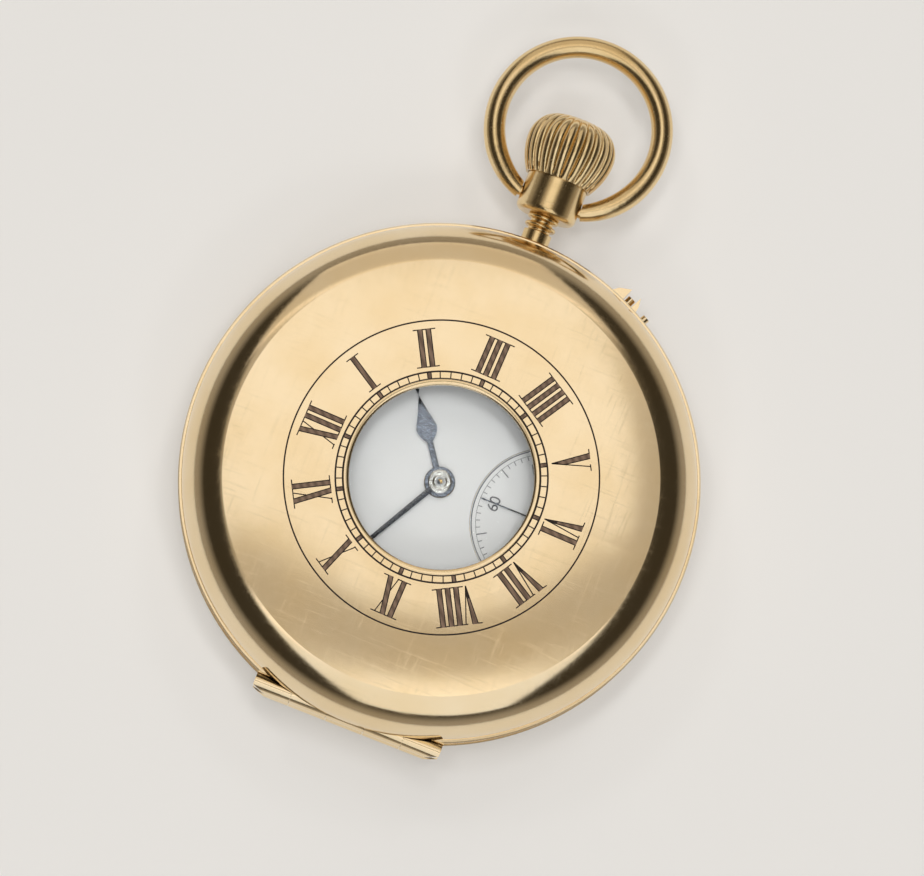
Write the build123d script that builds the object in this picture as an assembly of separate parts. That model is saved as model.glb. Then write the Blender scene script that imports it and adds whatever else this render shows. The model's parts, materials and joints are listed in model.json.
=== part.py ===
"""Half hunter pocket watch: gold hunting case, crown winding, lever movement, dial and hands.

Z runs from the flat of the back cover (0) to the front. Y runs from the hinges to the pendant.
X runs from XII to VI on the cover, so the seconds dial lies on +X. All lengths are millimetres.
"""
import os
from math import acos, asin, atan2, cos, degrees, hypot, pi, radians, sin, sqrt

from build123d import *

# Case: overall sizes
case_r = 25.0
back_split = 4.8
front_split = 8.8
thickness = 14.0
stem_z = (back_split + front_split) / 2

# Covers
lip_height = 0.5
lip_chamfer = 0.12
lip_step = 0.3
cover_wall = 0.65
front_flat_r = 12.0
front_shoulder_r = 4.3
back_flat_r = 13.0
back_shoulder_r = 4.0
lid_gap = 0.03
cover_r = case_r - lip_step
cover_bore_r = cover_r - cover_wall

# Window of the front cover and its glass
window_r = 8.8
bevel_width = 0.6
bevel_depth = 0.3
window_edge = 0.2
seat_width = 0.5
seat_depth = 0.55
collar_width = 0.7
glass_gap = 0.03
cover_glass_flange = 0.4
cover_glass_rise = 0.2
cover_glass_dome = 0.1

# Middle ring of the case
band_step = 0.5
band_bulge = 0.25
band_edge = 0.7
band_width = 4.0
bore_r = case_r - band_width
ledge_reach = 0.6
ledge_r = bore_r - ledge_reach
ledge_z = 6.35
ledge_height = 0.95
foot_step = 0.6
foot_r = bore_r + foot_step
pendant_hole_r = 1.12

# Lock spring and fly spring, in their pockets in the middle ring
spring_channel_step = 0.4
spring_channel_r = bore_r + spring_channel_step
spring_channel_width = 1.5
spring_channel_floor = 5.5
spring_channel_top = 8.1
lock_half_angle = 18.0
lift_half_angle = 40.0
channel_end = 4.0
nose_half = 1.4
nose_step = 1.85
nose_inner = case_r - nose_step
nose_thickness = 0.7
nose_outer = nose_inner + nose_thickness
nose_room = 0.45
nose_top = 9.35
strip_thickness = 0.4
strip_step = 0.95
strip_inner = bore_r + strip_step
strip_margin = 0.15

# Hinges of the two covers
knuckle_r = 0.9
hinge_y = knuckle_r - case_r
knuckle_clearance = 0.2
knuckle_gap = 0.05
hinge_half = 9.5
hinge_pin_r = 0.35
hinge_pin_fit = 0.02
hinge_count = 5
filed_step = 1.3
filed_r = case_r + filed_step
leaf_depth = 3.6

# Dust cover under the back
cuvette_step = 1.9
cuvette_rim_r = case_r - cuvette_step
cuvette_depth = 3.45
cuvette_flat_r = 15.0
cuvette_shoulder_r = 2.9
cuvette_wall = 0.4
cuvette_tab_height = 0.3

# Bezel and glass over the dial
bezel_step = 2.4
bezel_r = case_r - bezel_step
bezel_slope = 0.9
bezel_top_r = bezel_r - bezel_slope
bezel_z = 10.6
bezel_width = 2.2
bezel_open_r = bezel_r - bezel_width
bezel_lip = 0.5
bezel_wall = 1.5
dial_glass_r = bezel_r - bezel_wall
dial_glass_edge = 0.5
dial_glass_rise = 0.75

# Dial
dial_fit = 0.2
dial_r = bore_r - dial_fit
dial_z = 8.35
dial_thickness = 0.45
seconds_x = 10.9
seconds_dial_r = 7.25
seconds_sink = 0.12
dial_gap = 0.05
centre_hole_r = 1.5
seconds_hole_r = 0.35

# Hands
hand_thickness = 0.12
minute_hand_z = 9.57
hour_hand_z = 9.25
seconds_hand_z = 8.95
minute_hand_length = 17.5
hour_hand_length = 14.0
minute_tail_width = 0.9
minute_tip_width = 0.25
hour_arm_width = 0.6
spade_r = 1.0
spade_tip_share = 3.45
spade_heel_angle = 65.0
spade_waist_share = 1.8
spade_waist_width_share = 0.3
inner_spade_tip_r = 8.65
inner_spade_at = inner_spade_tip_r - spade_r * spade_tip_share
outer_spade_at = hour_hand_length - spade_r * spade_tip_share
minute_boss_r = 1.14
hour_boss_r = 1.46
hand_boss_height = 0.3
seconds_hand_length = 6.1
seconds_tail = 2.2
seconds_hand_width = 0.22
seconds_boss_r = 0.5
hour_hand_angle = 125.0
minute_hand_angle = -119.5
seconds_hand_angle = 180.0

# Pendant with its turned neck
spigot_depth = 0.9
spigot_start = case_r - spigot_depth
spigot_fit = 0.02
neck_sunk = 0.2
neck_start = case_r - neck_sunk
neck_r = 1.4
neck_groove = 0.3
neck_collar_length = 1.4
neck_collar_end = neck_start + neck_collar_length
neck_rings_length = 1.6
neck_rings = 2
pendant_start = neck_collar_end + neck_rings_length
pendant_r = 3.0
pendant_round = 0.6
pendant_length = 4.4
pendant_end = pendant_start + pendant_length
pendant_bore_r = 0.95

# Crown and stem
crown_overlap = 0.7
crown_start = pendant_end - crown_overlap
crown_length = 6.3
crown_top = crown_start + crown_length
crown_widest_step = 3.5
crown_widest = crown_start + crown_widest_step
crown_r = 4.4
crown_foot_r = 3.3
crown_crest_r = 1.9
crown_skirt_r = 3.06
crown_skirt_depth = 1.4
crown_ribs = 26
crown_rib_share = 0.22
crown_groove = 0.3
crown_level_shares = (0, 0.28, 0.55, 0.75, 0.9, 1)
crown_travel = 0.5
stem_r = 0.65
stem_fit = 0.03
square_half = 0.42

# Bow
bow_rise = 4.8
bow_centre_y = pendant_end + bow_rise
bow_outer_r = 9.17
bow_wire_r = 1.05
bow_end_r = 0.8
bow_gap = 0.05
bow_taper_start = -30.0
bow_taper_steps = 4
bow_pin_r = 0.5
bow_pin_fit = 0.03
bow_pin_length = 0.85

# Hand-setting push piece and its guard on the band
push_angle = 24.6
push_r = 0.42
push_fit = 0.04
push_travel = 0.5
push_reach = 0.9
push_outer = case_r + push_reach
guard_height = 2.6
guard_sunk = 0.8
guard_root_r = case_r - guard_sunk
guard_rise = 0.7
guard_low_r = case_r + guard_rise
guard_tip_rise = 1.4
guard_tip_r = case_r + guard_tip_rise
guard_long_start = 18.8
guard_long_end = 23.3
guard_short_start = 25.9
guard_short_end = 28.0
bead_angle = 29.7
bead_r = 0.4

# Plates of the movement
plate_fit = 0.1
plate_r = bore_r - plate_fit
plate_z = 6.4
plate_top = 8.3
work_floor = 7.55
bar_floor = 6.88
top_plate_step = 1.1
top_plate_r = plate_r - top_plate_step
top_plate_z = 2.9
top_plate_thickness = 0.7
train_floor = top_plate_z + top_plate_thickness
pivot_r = 0.25
pivot_fit = 0.03
jewel_r = 0.75
jewel_height = 0.3
pillar_r = 0.9
pillar_inset = 2.6
pillar_ring_r = plate_r - pillar_inset
pillar_angles = (205.0, 262.0, 22.0, 66.0)
dial_foot_r = 0.4
dial_foot_inset = 3.3
dial_foot_ring = plate_r - dial_foot_inset
dial_foot_angles = (185.0, 300.0, 40.0)
dial_foot_length = 1.5

# Screws
screw_head_r = 0.8
screw_head_height = 0.35
screw_shank_r = 0.4
slot_width = 0.18
slot_depth = 0.15
hole_fit = 0.03
case_screw_head_r = 1.1
case_screw_inset = 1.35
case_screw_r = plate_r - case_screw_inset
case_screw_angles = (178.0, 325.0)
cock_screw_share = 0.8
pallet_screw_share = 0.6
ratchet_screw_share = 1.2

# Train: teeth of wheels and pinions, and their modules
barrel_teeth, centre_pinion_teeth, barrel_module = 60, 10, 0.28
centre_teeth, third_pinion_teeth, centre_module = 64, 8, 0.2
third_teeth, fourth_pinion_teeth, third_module = 60, 8, 0.17
fourth_teeth, escape_pinion_teeth, fourth_module = 60, 6, 0.13
escape_teeth = 15
escape_r = 2.8
cannon_teeth, minute_teeth, cannon_module = 10, 30, 0.17
minute_pinion_teeth, hour_teeth = 8, 32
ratchet_teeth, crown_wheel_teeth = 40, 26
setting_teeth = 18

# Forms of teeth and of crossings, as shares of the module, of the pitch or of the wheel
tooth_tip_share = 0.85
tooth_root_share = 1.25
leaf_tip_share = 0.6
leaf_root_share = 1.15
leaf_foot_width_share = 0.28
leaf_top_width_share = 0.06
rim_share = 3.0
hub_share = 0.28
spoke_share = 0.11
spokes = 5

# Heights of the train wheels
barrel_z = 3.65
barrel_height = 2.0
barrel_rim_height = 0.6
barrel_wall = 0.5
centre_wheel_z = 5.85
third_wheel_z = 4.6
fourth_wheel_z = 5.35
escape_wheel_z = 4.85
wheel_thickness = 0.22
pinion_margin = 0.12
arbor_r = 0.35
train_end_gap = 0.05
barrel_angle = 158.0
escape_angle = -75.0
lever_angle = -135.0

# Barrel and mainspring
barrel_root_share = 1.6
barrel_cover_height = 0.25
barrel_arbor_r = 0.9
barrel_hub_share = 1.7
barrel_square_share = 0.62
mainspring_turns = 4
mainspring_blade = 0.25

# Escape wheel, lever and pallets
escape_root_share = 0.74
escape_tooth_shares = (-0.2, 0.12, 0.3, 0.12)
escape_arbor_share = 0.7
pallet_r = 1.62
pallet_gap = 0.5
lever_z = 4.8
lever_thickness = 0.3
lever_length = 4.1
lever_to_balance = 5.4
lever_width = 0.45
fork_width = 0.7
fork_notch_share = 0.97
fork_notch_r_share = 1.4
stone_width = 0.3
stone_length = 0.7
stone_height_share = 0.8
stone_hold_share = 1 / 3
pallet_cock_z = 4.35
pallet_cock_thickness = 0.25
pallet_cock_tip_share = 0.8
pallet_foot_step = 2.6

# Balance, hairspring and regulator
balance_r = 5.8
balance_rim = 0.7
balance_z = 3.7
balance_height = 0.55
balance_arm_height = 0.25
balance_arm_width = 0.9
balance_screws = 12
balance_screw_r = 0.22
balance_screw_out = 0.35
staff_r = 0.3
roller_r = 1.1
roller_z = 5.2
roller_height = 0.2
impulse_pin_r = 0.12
impulse_at = 0.8
collet_r = 0.5
spring_inner_r = 0.62
spring_turns = 5
spring_pitch = 0.44
spring_blade = 0.06
spring_height = 0.18
cock_z = 2.9
cock_thickness = 0.6
cock_inset = 0.55
cock_foot_r = top_plate_r - cock_inset
cock_foot_width = 5.0
cock_foot_depth = 1.5
cock_tip_share = 2.0
balance_well = 0.7
regulator_z = 2.68
regulator_thickness = 0.18
regulator_length = 4.2
regulator_ring_share = 1.7

# Winding work
ratchet_z = 2.35
ratchet_thickness = 0.5
winding_y = 14.2
winding_length = 1.5
winding_pinion_r = 1.5
winding_teeth = 12
winding_root_share = 0.72
winding_foot_width_share = 0.3
winding_top_width_share = 0.1
winding_bore_gap = 0.04
winding_room = 0.25
contrate_r = 3.3
contrate_wall = 0.7
contrate_tooth = 0.35
contrate_gap = 0.12
contrate_teeth = 20
contrate_share = 0.25
click_z = 2.35
click_angle = 255.0
click_gap = 0.08
click_stud_r = 0.35
click_length = 2.6
click_width = 0.55
click_tail_angle = 60.0
click_tip_angle = 30.0
click_eye_share = 1.3
click_spring_length = 5.5
click_spring_reach_angle = 150.0
click_spring_run_angle = 120.0

# Setting work and motion work
push_lever_x, push_lever_y = 12.0, 11.0
bar_arm_r = 16.0
bar_width = 1.3
bar_thickness = 0.3
stud_r = 0.3
setting_wheel_r = 1.6
setting_x, setting_y = 2.6, 7.6
motion_r = 6.6
motion_y = 2.4
motion_gap = 0.05
minute_stud_r = 0.25
minute_wheel_height = 0.2
cannon_height = 0.45
cannon_r = 0.55
cannon_bore_r = 0.29
hour_pipe_r = 0.95
hour_pipe_bore_r = 0.6

overrun = 1.0


def polar(radius, angle):
    """Point at an angle in degrees, counted from +X."""
    return radius * cos(radians(angle)), radius * sin(radians(angle))


def from_pendant(radius, angle):
    """Point at an angle in degrees, counted clockwise from the pendant."""
    return polar(radius, 90 - angle)


def stepped(start, distance, angle):
    """Point at a distance from another, in the direction of an angle."""
    x, y = polar(distance, angle)
    return start[0] + x, start[1] + y


def section(stops, swap=False):
    """Face in the XZ plane through (radius, height) stops; a pair of stops is an arc by way of the first."""
    def place(stop):
        return Vector(stop[0], stop[1], 0) if swap else Vector(stop[0], 0, stop[1])

    edges = []
    here = stops[0]
    for stop in stops[1:] + stops[:1]:
        if isinstance(stop[0], tuple):
            via, there = stop
            edges.append(ThreePointArc(place(here), place(via), place(there)))
        else:
            there = stop
            edges.append(Line(place(here), place(there)))
        here = there
    return Face(Wire(edges))


def turned(stops):
    """Solid of revolution about Z."""
    return revolve(section(stops), Axis.Z)


def turned_y(stops, height=0.0):
    """Solid of revolution about a line along Y, from (radius, y) stops."""
    return Pos(0, 0, height) * revolve(section(stops, swap=True), Axis.Y)


def disc(radius, low, high, at=(0, 0)):
    return Pos(at[0], at[1], (low + high) / 2) * Cylinder(radius, high - low)


def ring(outer, inner, low, high, at=(0, 0)):
    return disc(outer, low, high, at) - disc(inner, low - overrun, high + overrun, at)


def rod_x(radius, start, end, y, z):
    return Pos((start + end) / 2, y, z) * Rot(0, 90, 0) * Cylinder(radius, end - start)


def rod_y(radius, start, end, x, z):
    return Pos(x, (start + end) / 2, z) * Rot(90, 0, 0) * Cylinder(radius, end - start)


def plate(points, low, high):
    """Flat piece with a straight-sided outline, given either way round."""
    ends = points[1:] + points[:1]
    if sum(x * v - u * y for (x, y), (u, v) in zip(points, ends)) < 0:
        points = points[::-1]
    return extrude(Pos(0, 0, low) * Polygon(*points, align=None), high - low)


def box(low, high):
    size = [b - a for a, b in zip(low, high)]
    middle = [(a + b) / 2 for a, b in zip(low, high)]
    return Pos(*middle) * Box(*size)


def square_post(at, half, low, high):
    return box((at[0] - half, at[1] - half, low), (at[0] + half, at[1] + half, high))


def strap(start, end, start_r, end_r, low, high):
    """Flat bar with round ends, which may differ in radius."""
    span = hypot(end[0] - start[0], end[1] - start[1])
    along = atan2(end[1] - start[1], end[0] - start[0])
    lean = acos((start_r - end_r) / span)
    corners = [
        (start[0] + start_r * cos(along + lean), start[1] + start_r * sin(along + lean)),
        (start[0] + start_r * cos(along - lean), start[1] + start_r * sin(along - lean)),
        (end[0] + end_r * cos(along - lean), end[1] + end_r * sin(along - lean)),
        (end[0] + end_r * cos(along + lean), end[1] + end_r * sin(along + lean)),
    ]
    return plate(corners, low, high) + disc(start_r, low, high, start) + disc(end_r, low, high, end)


def group(solids):
    return Compound(children=list(solids))


def meshed(phase, teeth, other_teeth, direction):
    """Angle in degrees of a tooth of the second wheel that lets it mesh with the first."""
    return direction + 180 - (phase - direction) * teeth / other_teeth - 180 / other_teeth


def wheel_outline(teeth, module, phase, at):
    """Pointed teeth of a watch wheel."""
    pitch_r = teeth * module / 2
    tip_r = pitch_r + tooth_tip_share * module
    root_r = pitch_r - tooth_root_share * module
    points = []
    for tooth in range(teeth):
        angle = phase + tooth * 360 / teeth
        for radius, turn in ((tip_r, 0), (root_r, 180 / teeth)):
            points.append(stepped(at, radius, angle + turn))
    return points


def leaf_outline(leaves, module, phase, at):
    """Leaves of a pinion, narrower at the tip."""
    pitch_r = leaves * module / 2
    tip_r = pitch_r + leaf_tip_share * module
    root_r = pitch_r - leaf_root_share * module
    corners = (
        (root_r, -leaf_foot_width_share),
        (tip_r, -leaf_top_width_share),
        (tip_r, leaf_top_width_share),
        (root_r, leaf_foot_width_share),
    )
    points = []
    for leaf in range(leaves):
        angle = phase + leaf * 360 / leaves
        for radius, share in corners:
            points.append(stepped(at, radius, angle + share * 360 / leaves))
    return points


def wheel(teeth, module, phase, low, at=(0, 0), height=wheel_thickness):
    return plate(wheel_outline(teeth, module, phase, at), low, low + height)


def pinion(leaves, module, phase, low, high, at=(0, 0)):
    return plate(leaf_outline(leaves, module, phase, at), low, high)


def crossings(outer, inner, arms, arm_width, low, high, phase, at=(0, 0)):
    """The windows between the arms of a wheel."""
    windows = []
    for arm in range(arms):
        angle = phase + arm * 360 / arms
        next_angle = angle + 360 / arms
        inner_turn = degrees(asin(arm_width / 2 / inner))
        outer_turn = degrees(asin(arm_width / 2 / outer))
        corners = [
            polar(inner, angle + inner_turn),
            polar(outer, angle + outer_turn),
            polar(outer, (angle + next_angle) / 2),
            polar(outer, next_angle - outer_turn),
            polar(inner, next_angle - inner_turn),
            polar(inner, (angle + next_angle) / 2),
        ]
        edges = [
            Line(corners[0], corners[1]),
            ThreePointArc(corners[1], corners[2], corners[3]),
            Line(corners[3], corners[4]),
            ThreePointArc(corners[4], corners[5], corners[0]),
        ]
        face = Pos(at[0], at[1], low - overrun) * Face(Wire(edges))
        windows.append(extrude(face, high - low + 2 * overrun, dir=(0, 0, 1)))
    return windows


def slotted_screw(at, head_low, shank_end, head_r=screw_head_r):
    """Screw driven from the back, with its slot in the head."""
    head_top = head_low + screw_head_height
    body = disc(head_r, head_low, head_top, at) + disc(screw_shank_r, head_top, shank_end, at)
    slot = box((at[0] - head_r, at[1] - slot_width / 2, head_low - overrun),
               (at[0] + head_r, at[1] + slot_width / 2, head_low + slot_depth))
    return body - slot


# Places of the train, worked out from the centre distances
centre_at = (0, 0)
barrel_distance = (barrel_teeth + centre_pinion_teeth) * barrel_module / 2
centre_distance = (centre_teeth + third_pinion_teeth) * centre_module / 2
third_distance = (third_teeth + fourth_pinion_teeth) * third_module / 2
escape_distance = (fourth_teeth + escape_pinion_teeth) * fourth_module / 2
barrel_at = polar(barrel_distance, barrel_angle)
fourth_at = (seconds_x, 0)
third_x = (centre_distance ** 2 - third_distance ** 2 + seconds_x ** 2) / (2 * seconds_x)
third_at = (third_x, sqrt(centre_distance ** 2 - third_x ** 2))
escape_at = stepped(fourth_at, escape_distance, escape_angle)
pallet_distance = hypot(escape_r + pallet_gap, pallet_r)
lever_at = stepped(escape_at, pallet_distance, lever_angle)
pallet_foot_at = stepped(lever_at, pallet_foot_step, lever_angle + 90)
balance_at = stepped(lever_at, lever_to_balance, lever_angle)
minute_distance = (cannon_teeth + minute_teeth) * cannon_module / 2
hour_module = 2 * minute_distance / (minute_pinion_teeth + hour_teeth)
minute_at = (0, minute_distance)
crown_wheel_at = (0, winding_y + winding_length / 2 - contrate_r + contrate_wall / 2)
winding_step = hypot(barrel_at[0] - crown_wheel_at[0], barrel_at[1] - crown_wheel_at[1])
ratchet_module = 2 * winding_step / (ratchet_teeth + crown_wheel_teeth)


def direction(start, end):
    return degrees(atan2(end[1] - start[1], end[0] - start[0]))


centre_pinion_phase = 0.0
barrel_phase = meshed(centre_pinion_phase, centre_pinion_teeth, barrel_teeth, barrel_angle)
centre_phase = direction(centre_at, third_at)
third_pinion_phase = meshed(centre_phase, centre_teeth, third_pinion_teeth, centre_phase)
third_phase = direction(third_at, fourth_at)
fourth_pinion_phase = meshed(third_phase, third_teeth, fourth_pinion_teeth, third_phase)
fourth_phase = escape_angle
escape_pinion_phase = meshed(fourth_phase, fourth_teeth, escape_pinion_teeth, escape_angle)
cannon_phase = 90.0
minute_phase = meshed(cannon_phase, cannon_teeth, minute_teeth, 90)
hour_phase = -90.0 + 180 / hour_teeth + 180
minute_pinion_phase = meshed(hour_phase, hour_teeth, minute_pinion_teeth, 90)
ratchet_phase = direction(barrel_at, crown_wheel_at)
crown_wheel_phase = meshed(ratchet_phase, ratchet_teeth, crown_wheel_teeth, ratchet_phase)


def cover_curve(rim_r, depth, flat_r, shoulder_r, inset):
    """Outline of a cover from its rim up to the flat, as stops of (radius, height).

    A shoulder arc starts upright at the rim and runs tangent into a wide dome arc, which runs
    tangent into the flat. An inset gives the inner face, concentric with the outer one.
    """
    shoulder_x = rim_r - shoulder_r
    spare = depth - shoulder_r
    dome_r = ((shoulder_x - flat_r) ** 2 / spare + shoulder_r + depth) / 2
    dome_y = depth - dome_r
    tangent = atan2(-dome_y, shoulder_x - flat_r)
    small_r = shoulder_r - inset
    wide_r = dome_r - inset

    def on_shoulder(angle):
        return shoulder_x + small_r * cos(angle), small_r * sin(angle)

    def on_dome(angle):
        return flat_r + wide_r * cos(angle), dome_y + wide_r * sin(angle)

    middle = (tangent + pi / 2) / 2
    shoulder = (on_shoulder(tangent / 2), on_shoulder(tangent))
    dome = (on_dome(middle), on_dome(pi / 2))
    return [(rim_r - inset, 0.0), shoulder, dome]


def lifted(stops, base, sign):
    """Cover stops moved to their height; sign is -1 for a cover that faces the back."""
    moved = []
    for stop in stops:
        if isinstance(stop[0], tuple):
            moved.append(tuple((r, base + sign * h) for r, h in stop))
        else:
            moved.append((stop[0], base + sign * stop[1]))
    return moved


def backwards(stops):
    """The same outline run the other way."""
    points = [stop[1] if isinstance(stop[0], tuple) else stop for stop in stops]
    reverse = [points[-1]]
    for index in range(len(stops) - 1, 0, -1):
        stop = stops[index]
        if isinstance(stop[0], tuple):
            reverse.append((stop[0], points[index - 1]))
        else:
            reverse.append(points[index - 1])
    return reverse


def lip(split, sign):
    """Stops of the lip that stands proud of the cover's wall."""
    return [
        (cover_bore_r, split),
        (case_r - lip_chamfer, split),
        (case_r, split + sign * lip_chamfer),
        (case_r, split + sign * (lip_height - lip_chamfer)),
        (case_r - lip_chamfer, split + sign * lip_height),
    ]


def knuckle_span(index):
    """Start and end along X of one of the knuckles."""
    pitch = 2 * hinge_half / hinge_count
    return -hinge_half + index * pitch + knuckle_gap / 2, -hinge_half + (index + 1) * pitch - knuckle_gap / 2


def knuckle(index, height, low, high, core_r):
    """Knuckle with the leaf that joins it to the rim, filed round on the outside of the case."""
    start, end = knuckle_span(index)
    leaf = box((start, hinge_y, low), (end, hinge_y + leaf_depth, high))
    leaf -= disc(core_r, low - overrun, high + overrun)
    tube = rod_x(knuckle_r, start, end, hinge_y, height)
    return (tube & disc(filed_r, height - knuckle_r, height + knuckle_r)) + leaf


def knuckle_room(index, height):
    start, end = knuckle_span(index)
    return rod_x(knuckle_r + knuckle_clearance, start - knuckle_gap, end + knuckle_gap, hinge_y, height)


def pin_room(height):
    return rod_x(hinge_pin_r + hinge_pin_fit, -hinge_half - overrun, hinge_half + overrun, hinge_y, height)


def front_cover():
    top = thickness
    inner_top = top - cover_wall
    seat_r = window_r + seat_width
    seat_z = top - bevel_depth - window_edge
    collar_r = seat_r + collar_width
    base = front_split + lip_height
    outer = cover_curve(cover_r, top - base, front_flat_r, front_shoulder_r, 0)
    inner = cover_curve(cover_r, top - base, front_flat_r, front_shoulder_r, cover_wall)
    window = [
        (window_r + bevel_width, top),
        (window_r, top - bevel_depth),
        (window_r, seat_z),
        (seat_r, seat_z),
        (seat_r, seat_z - seat_depth),
        (collar_r, seat_z - seat_depth),
        (collar_r, inner_top),
    ]
    stops = lip(front_split, 1) + lifted(outer, base, 1) + window + backwards(lifted(inner, base, 1))
    cover = turned(stops)
    for index in (0, 2, 4):
        cover -= knuckle_room(index, front_split)
    for index in (1, 3):
        cover += knuckle(index, front_split, front_split + lid_gap, front_split + knuckle_r, cover_bore_r)
    return cover - pin_room(front_split)


def cover_glass():
    seat_z = thickness - bevel_depth - window_edge
    low = seat_z - glass_gap - cover_glass_flange
    flange_r = window_r + seat_width - glass_gap
    rise_r = window_r - glass_gap
    top = seat_z - glass_gap + cover_glass_rise
    return turned([(0, low), (flange_r, low), (flange_r, seat_z - glass_gap), (rise_r, seat_z - glass_gap),
                   (rise_r, top), (0, top + cover_glass_dome)])


def back_cover():
    base = back_split - lip_height
    outer = cover_curve(cover_r, base, back_flat_r, back_shoulder_r, 0)
    inner = cover_curve(cover_r, base, back_flat_r, back_shoulder_r, cover_wall)
    stops = lip(back_split, -1) + lifted(outer, base, -1) + [(0, 0), (0, cover_wall)]
    stops += backwards(lifted(inner, base, -1))
    cover = turned(stops)
    for index in (0, 2, 4):
        cover -= knuckle_room(index, back_split)
    for index in (1, 3):
        cover += knuckle(index, back_split, back_split - knuckle_r, back_split - lid_gap, cover_bore_r)
    return cover - pin_room(back_split)


def cuvette():
    base = back_split - lid_gap
    outer = cover_curve(cuvette_rim_r, cuvette_depth, cuvette_flat_r, cuvette_shoulder_r, 0)
    inner = cover_curve(cuvette_rim_r, cuvette_depth, cuvette_flat_r, cuvette_shoulder_r, cuvette_wall)
    stops = lifted(outer, base, -1) + [(0, base - cuvette_depth), (0, base - cuvette_depth + cuvette_wall)]
    stops += backwards(lifted(inner, base, -1))
    cover = turned(stops)
    start, end = knuckle_span(2)
    tab = box((start, hinge_y, base - cuvette_tab_height), (end, -cuvette_rim_r + cuvette_wall, base))
    cover += tab + rod_x(knuckle_r, start, end, hinge_y, back_split)
    for index in (1, 3):
        cover -= knuckle_room(index, back_split)
    return cover - pin_room(back_split)


def guard_lug(start, end, tip_share):
    """Lug of the guard, from its root on the band up to a corner beside the push piece."""
    tip = start + (end - start) * tip_share
    corners = [
        from_pendant(guard_root_r, start),
        from_pendant(guard_low_r, start + (tip - start) / 2),
        from_pendant(guard_tip_r, tip),
        from_pendant(guard_low_r, tip + (end - tip) / 2),
        from_pendant(guard_root_r, end),
    ]
    if tip_share in (0, 1):
        corners = [corner for index, corner in enumerate(corners) if index != (1 if tip_share == 0 else 3)]
    return plate(corners, stem_z - guard_height / 2, stem_z + guard_height / 2)


def channel(middle_angle, half_angle, low, high, inner, width):
    """Arc-shaped pocket or strip about the case's axis."""
    outer = inner + width
    start, end = middle_angle - half_angle, middle_angle + half_angle
    edges = [
        Line(polar(inner, start), polar(outer, start)),
        ThreePointArc(polar(outer, start), polar(outer, middle_angle), polar(outer, end)),
        Line(polar(outer, end), polar(inner, end)),
        ThreePointArc(polar(inner, end), polar(inner, middle_angle), polar(inner, start)),
    ]
    return extrude(Pos(0, 0, low) * Face(Wire(edges)), high - low, dir=(0, 0, 1))


def radial_rod(radius, start, end, angle):
    """Round rod at the stem's height along a line from the case's centre."""
    x, y = from_pendant((start + end) / 2, angle)
    return Pos(x, y, stem_z) * Rot(0, 0, -angle) * Rot(90, 0, 0) * Cylinder(radius, end - start)


def case_middle():
    """Ring of the case with its guard, its hinge knuckles and the pockets of the two case springs."""
    band_r = case_r - band_step
    low, high = back_split + lid_gap, front_split - lid_gap
    middle = turned([
        (foot_r, low),
        (band_r, low),
        (band_r + band_bulge, low + band_edge),
        (band_r + band_bulge, high - band_edge),
        (band_r, high),
        (bore_r, high),
        (bore_r, ledge_z),
        (ledge_r, ledge_z),
        (ledge_r, ledge_z - ledge_height),
        (foot_r, ledge_z - ledge_height),
    ])
    middle += guard_lug(guard_long_start, guard_long_end, 1)
    middle += guard_lug(guard_short_start, guard_short_end, 0)
    middle += radial_rod(bead_r, guard_root_r, guard_low_r, bead_angle)
    hinges = (
        (front_split, (0, 2, 4), (1, 3), front_split - knuckle_r, front_split - lid_gap),
        (back_split, (0, 4), (1, 2, 3), back_split + lid_gap, back_split + knuckle_r),
    )
    for height, own, others, leaf_low, leaf_high in hinges:
        for index in own:
            middle += knuckle(index, height, leaf_low, leaf_high, bore_r)
    for height, own, others, leaf_low, leaf_high in hinges:
        for index in others:
            middle -= knuckle_room(index, height)
        middle -= pin_room(height)
    middle -= rod_y(pendant_hole_r, ledge_r - overrun, case_r, 0, stem_z)
    middle -= radial_rod(push_r + push_fit, ledge_r - overrun, case_r, push_angle)
    for angle, half_angle in ((90, lock_half_angle), (-90, lift_half_angle)):
        middle -= channel(angle, half_angle + channel_end, spring_channel_floor, spring_channel_top,
                          spring_channel_r, spring_channel_width)
    nose_slot = box((-nose_half - strip_margin, nose_inner - nose_room, spring_channel_top - overrun),
                    (nose_half + strip_margin, nose_outer + strip_margin, front_split + overrun))
    return middle - nose_slot


def hinge_pin(height):
    return rod_x(hinge_pin_r, -hinge_half, hinge_half, hinge_y, height)


def front_bezel():
    low = front_split
    lip_z = bezel_z - bezel_lip
    seat_r = dial_glass_r + glass_gap
    return turned([(seat_r, low), (bezel_r, low), (bezel_r, low + bezel_lip), (bezel_top_r, bezel_z),
                   (bezel_open_r, bezel_z), (bezel_open_r, lip_z), (seat_r, lip_z)])


def dial_glass():
    top = bezel_z - bezel_lip - glass_gap
    low = top - dial_glass_edge
    crown = bezel_open_r - glass_gap

    dome_r = (crown ** 2 + dial_glass_rise ** 2) / (2 * dial_glass_rise)

    def sag(radius, base):
        return base + dial_glass_rise - dome_r + sqrt(dome_r ** 2 - radius ** 2)

    return turned([
        (0, sag(0, low)),
        ((crown / 2, sag(crown / 2, low)), (crown, low)),
        (dial_glass_r, low),
        (dial_glass_r, top),
        (crown, top),
        ((crown / 2, sag(crown / 2, top)), (0, sag(0, top))),
    ])


def spring_strip(middle_angle, half_angle):
    """Flat spring bent to lie in its pocket."""
    low, high = spring_channel_floor + strip_margin, spring_channel_top - strip_margin
    return channel(middle_angle, half_angle, low, high, strip_inner, strip_thickness)


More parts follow.
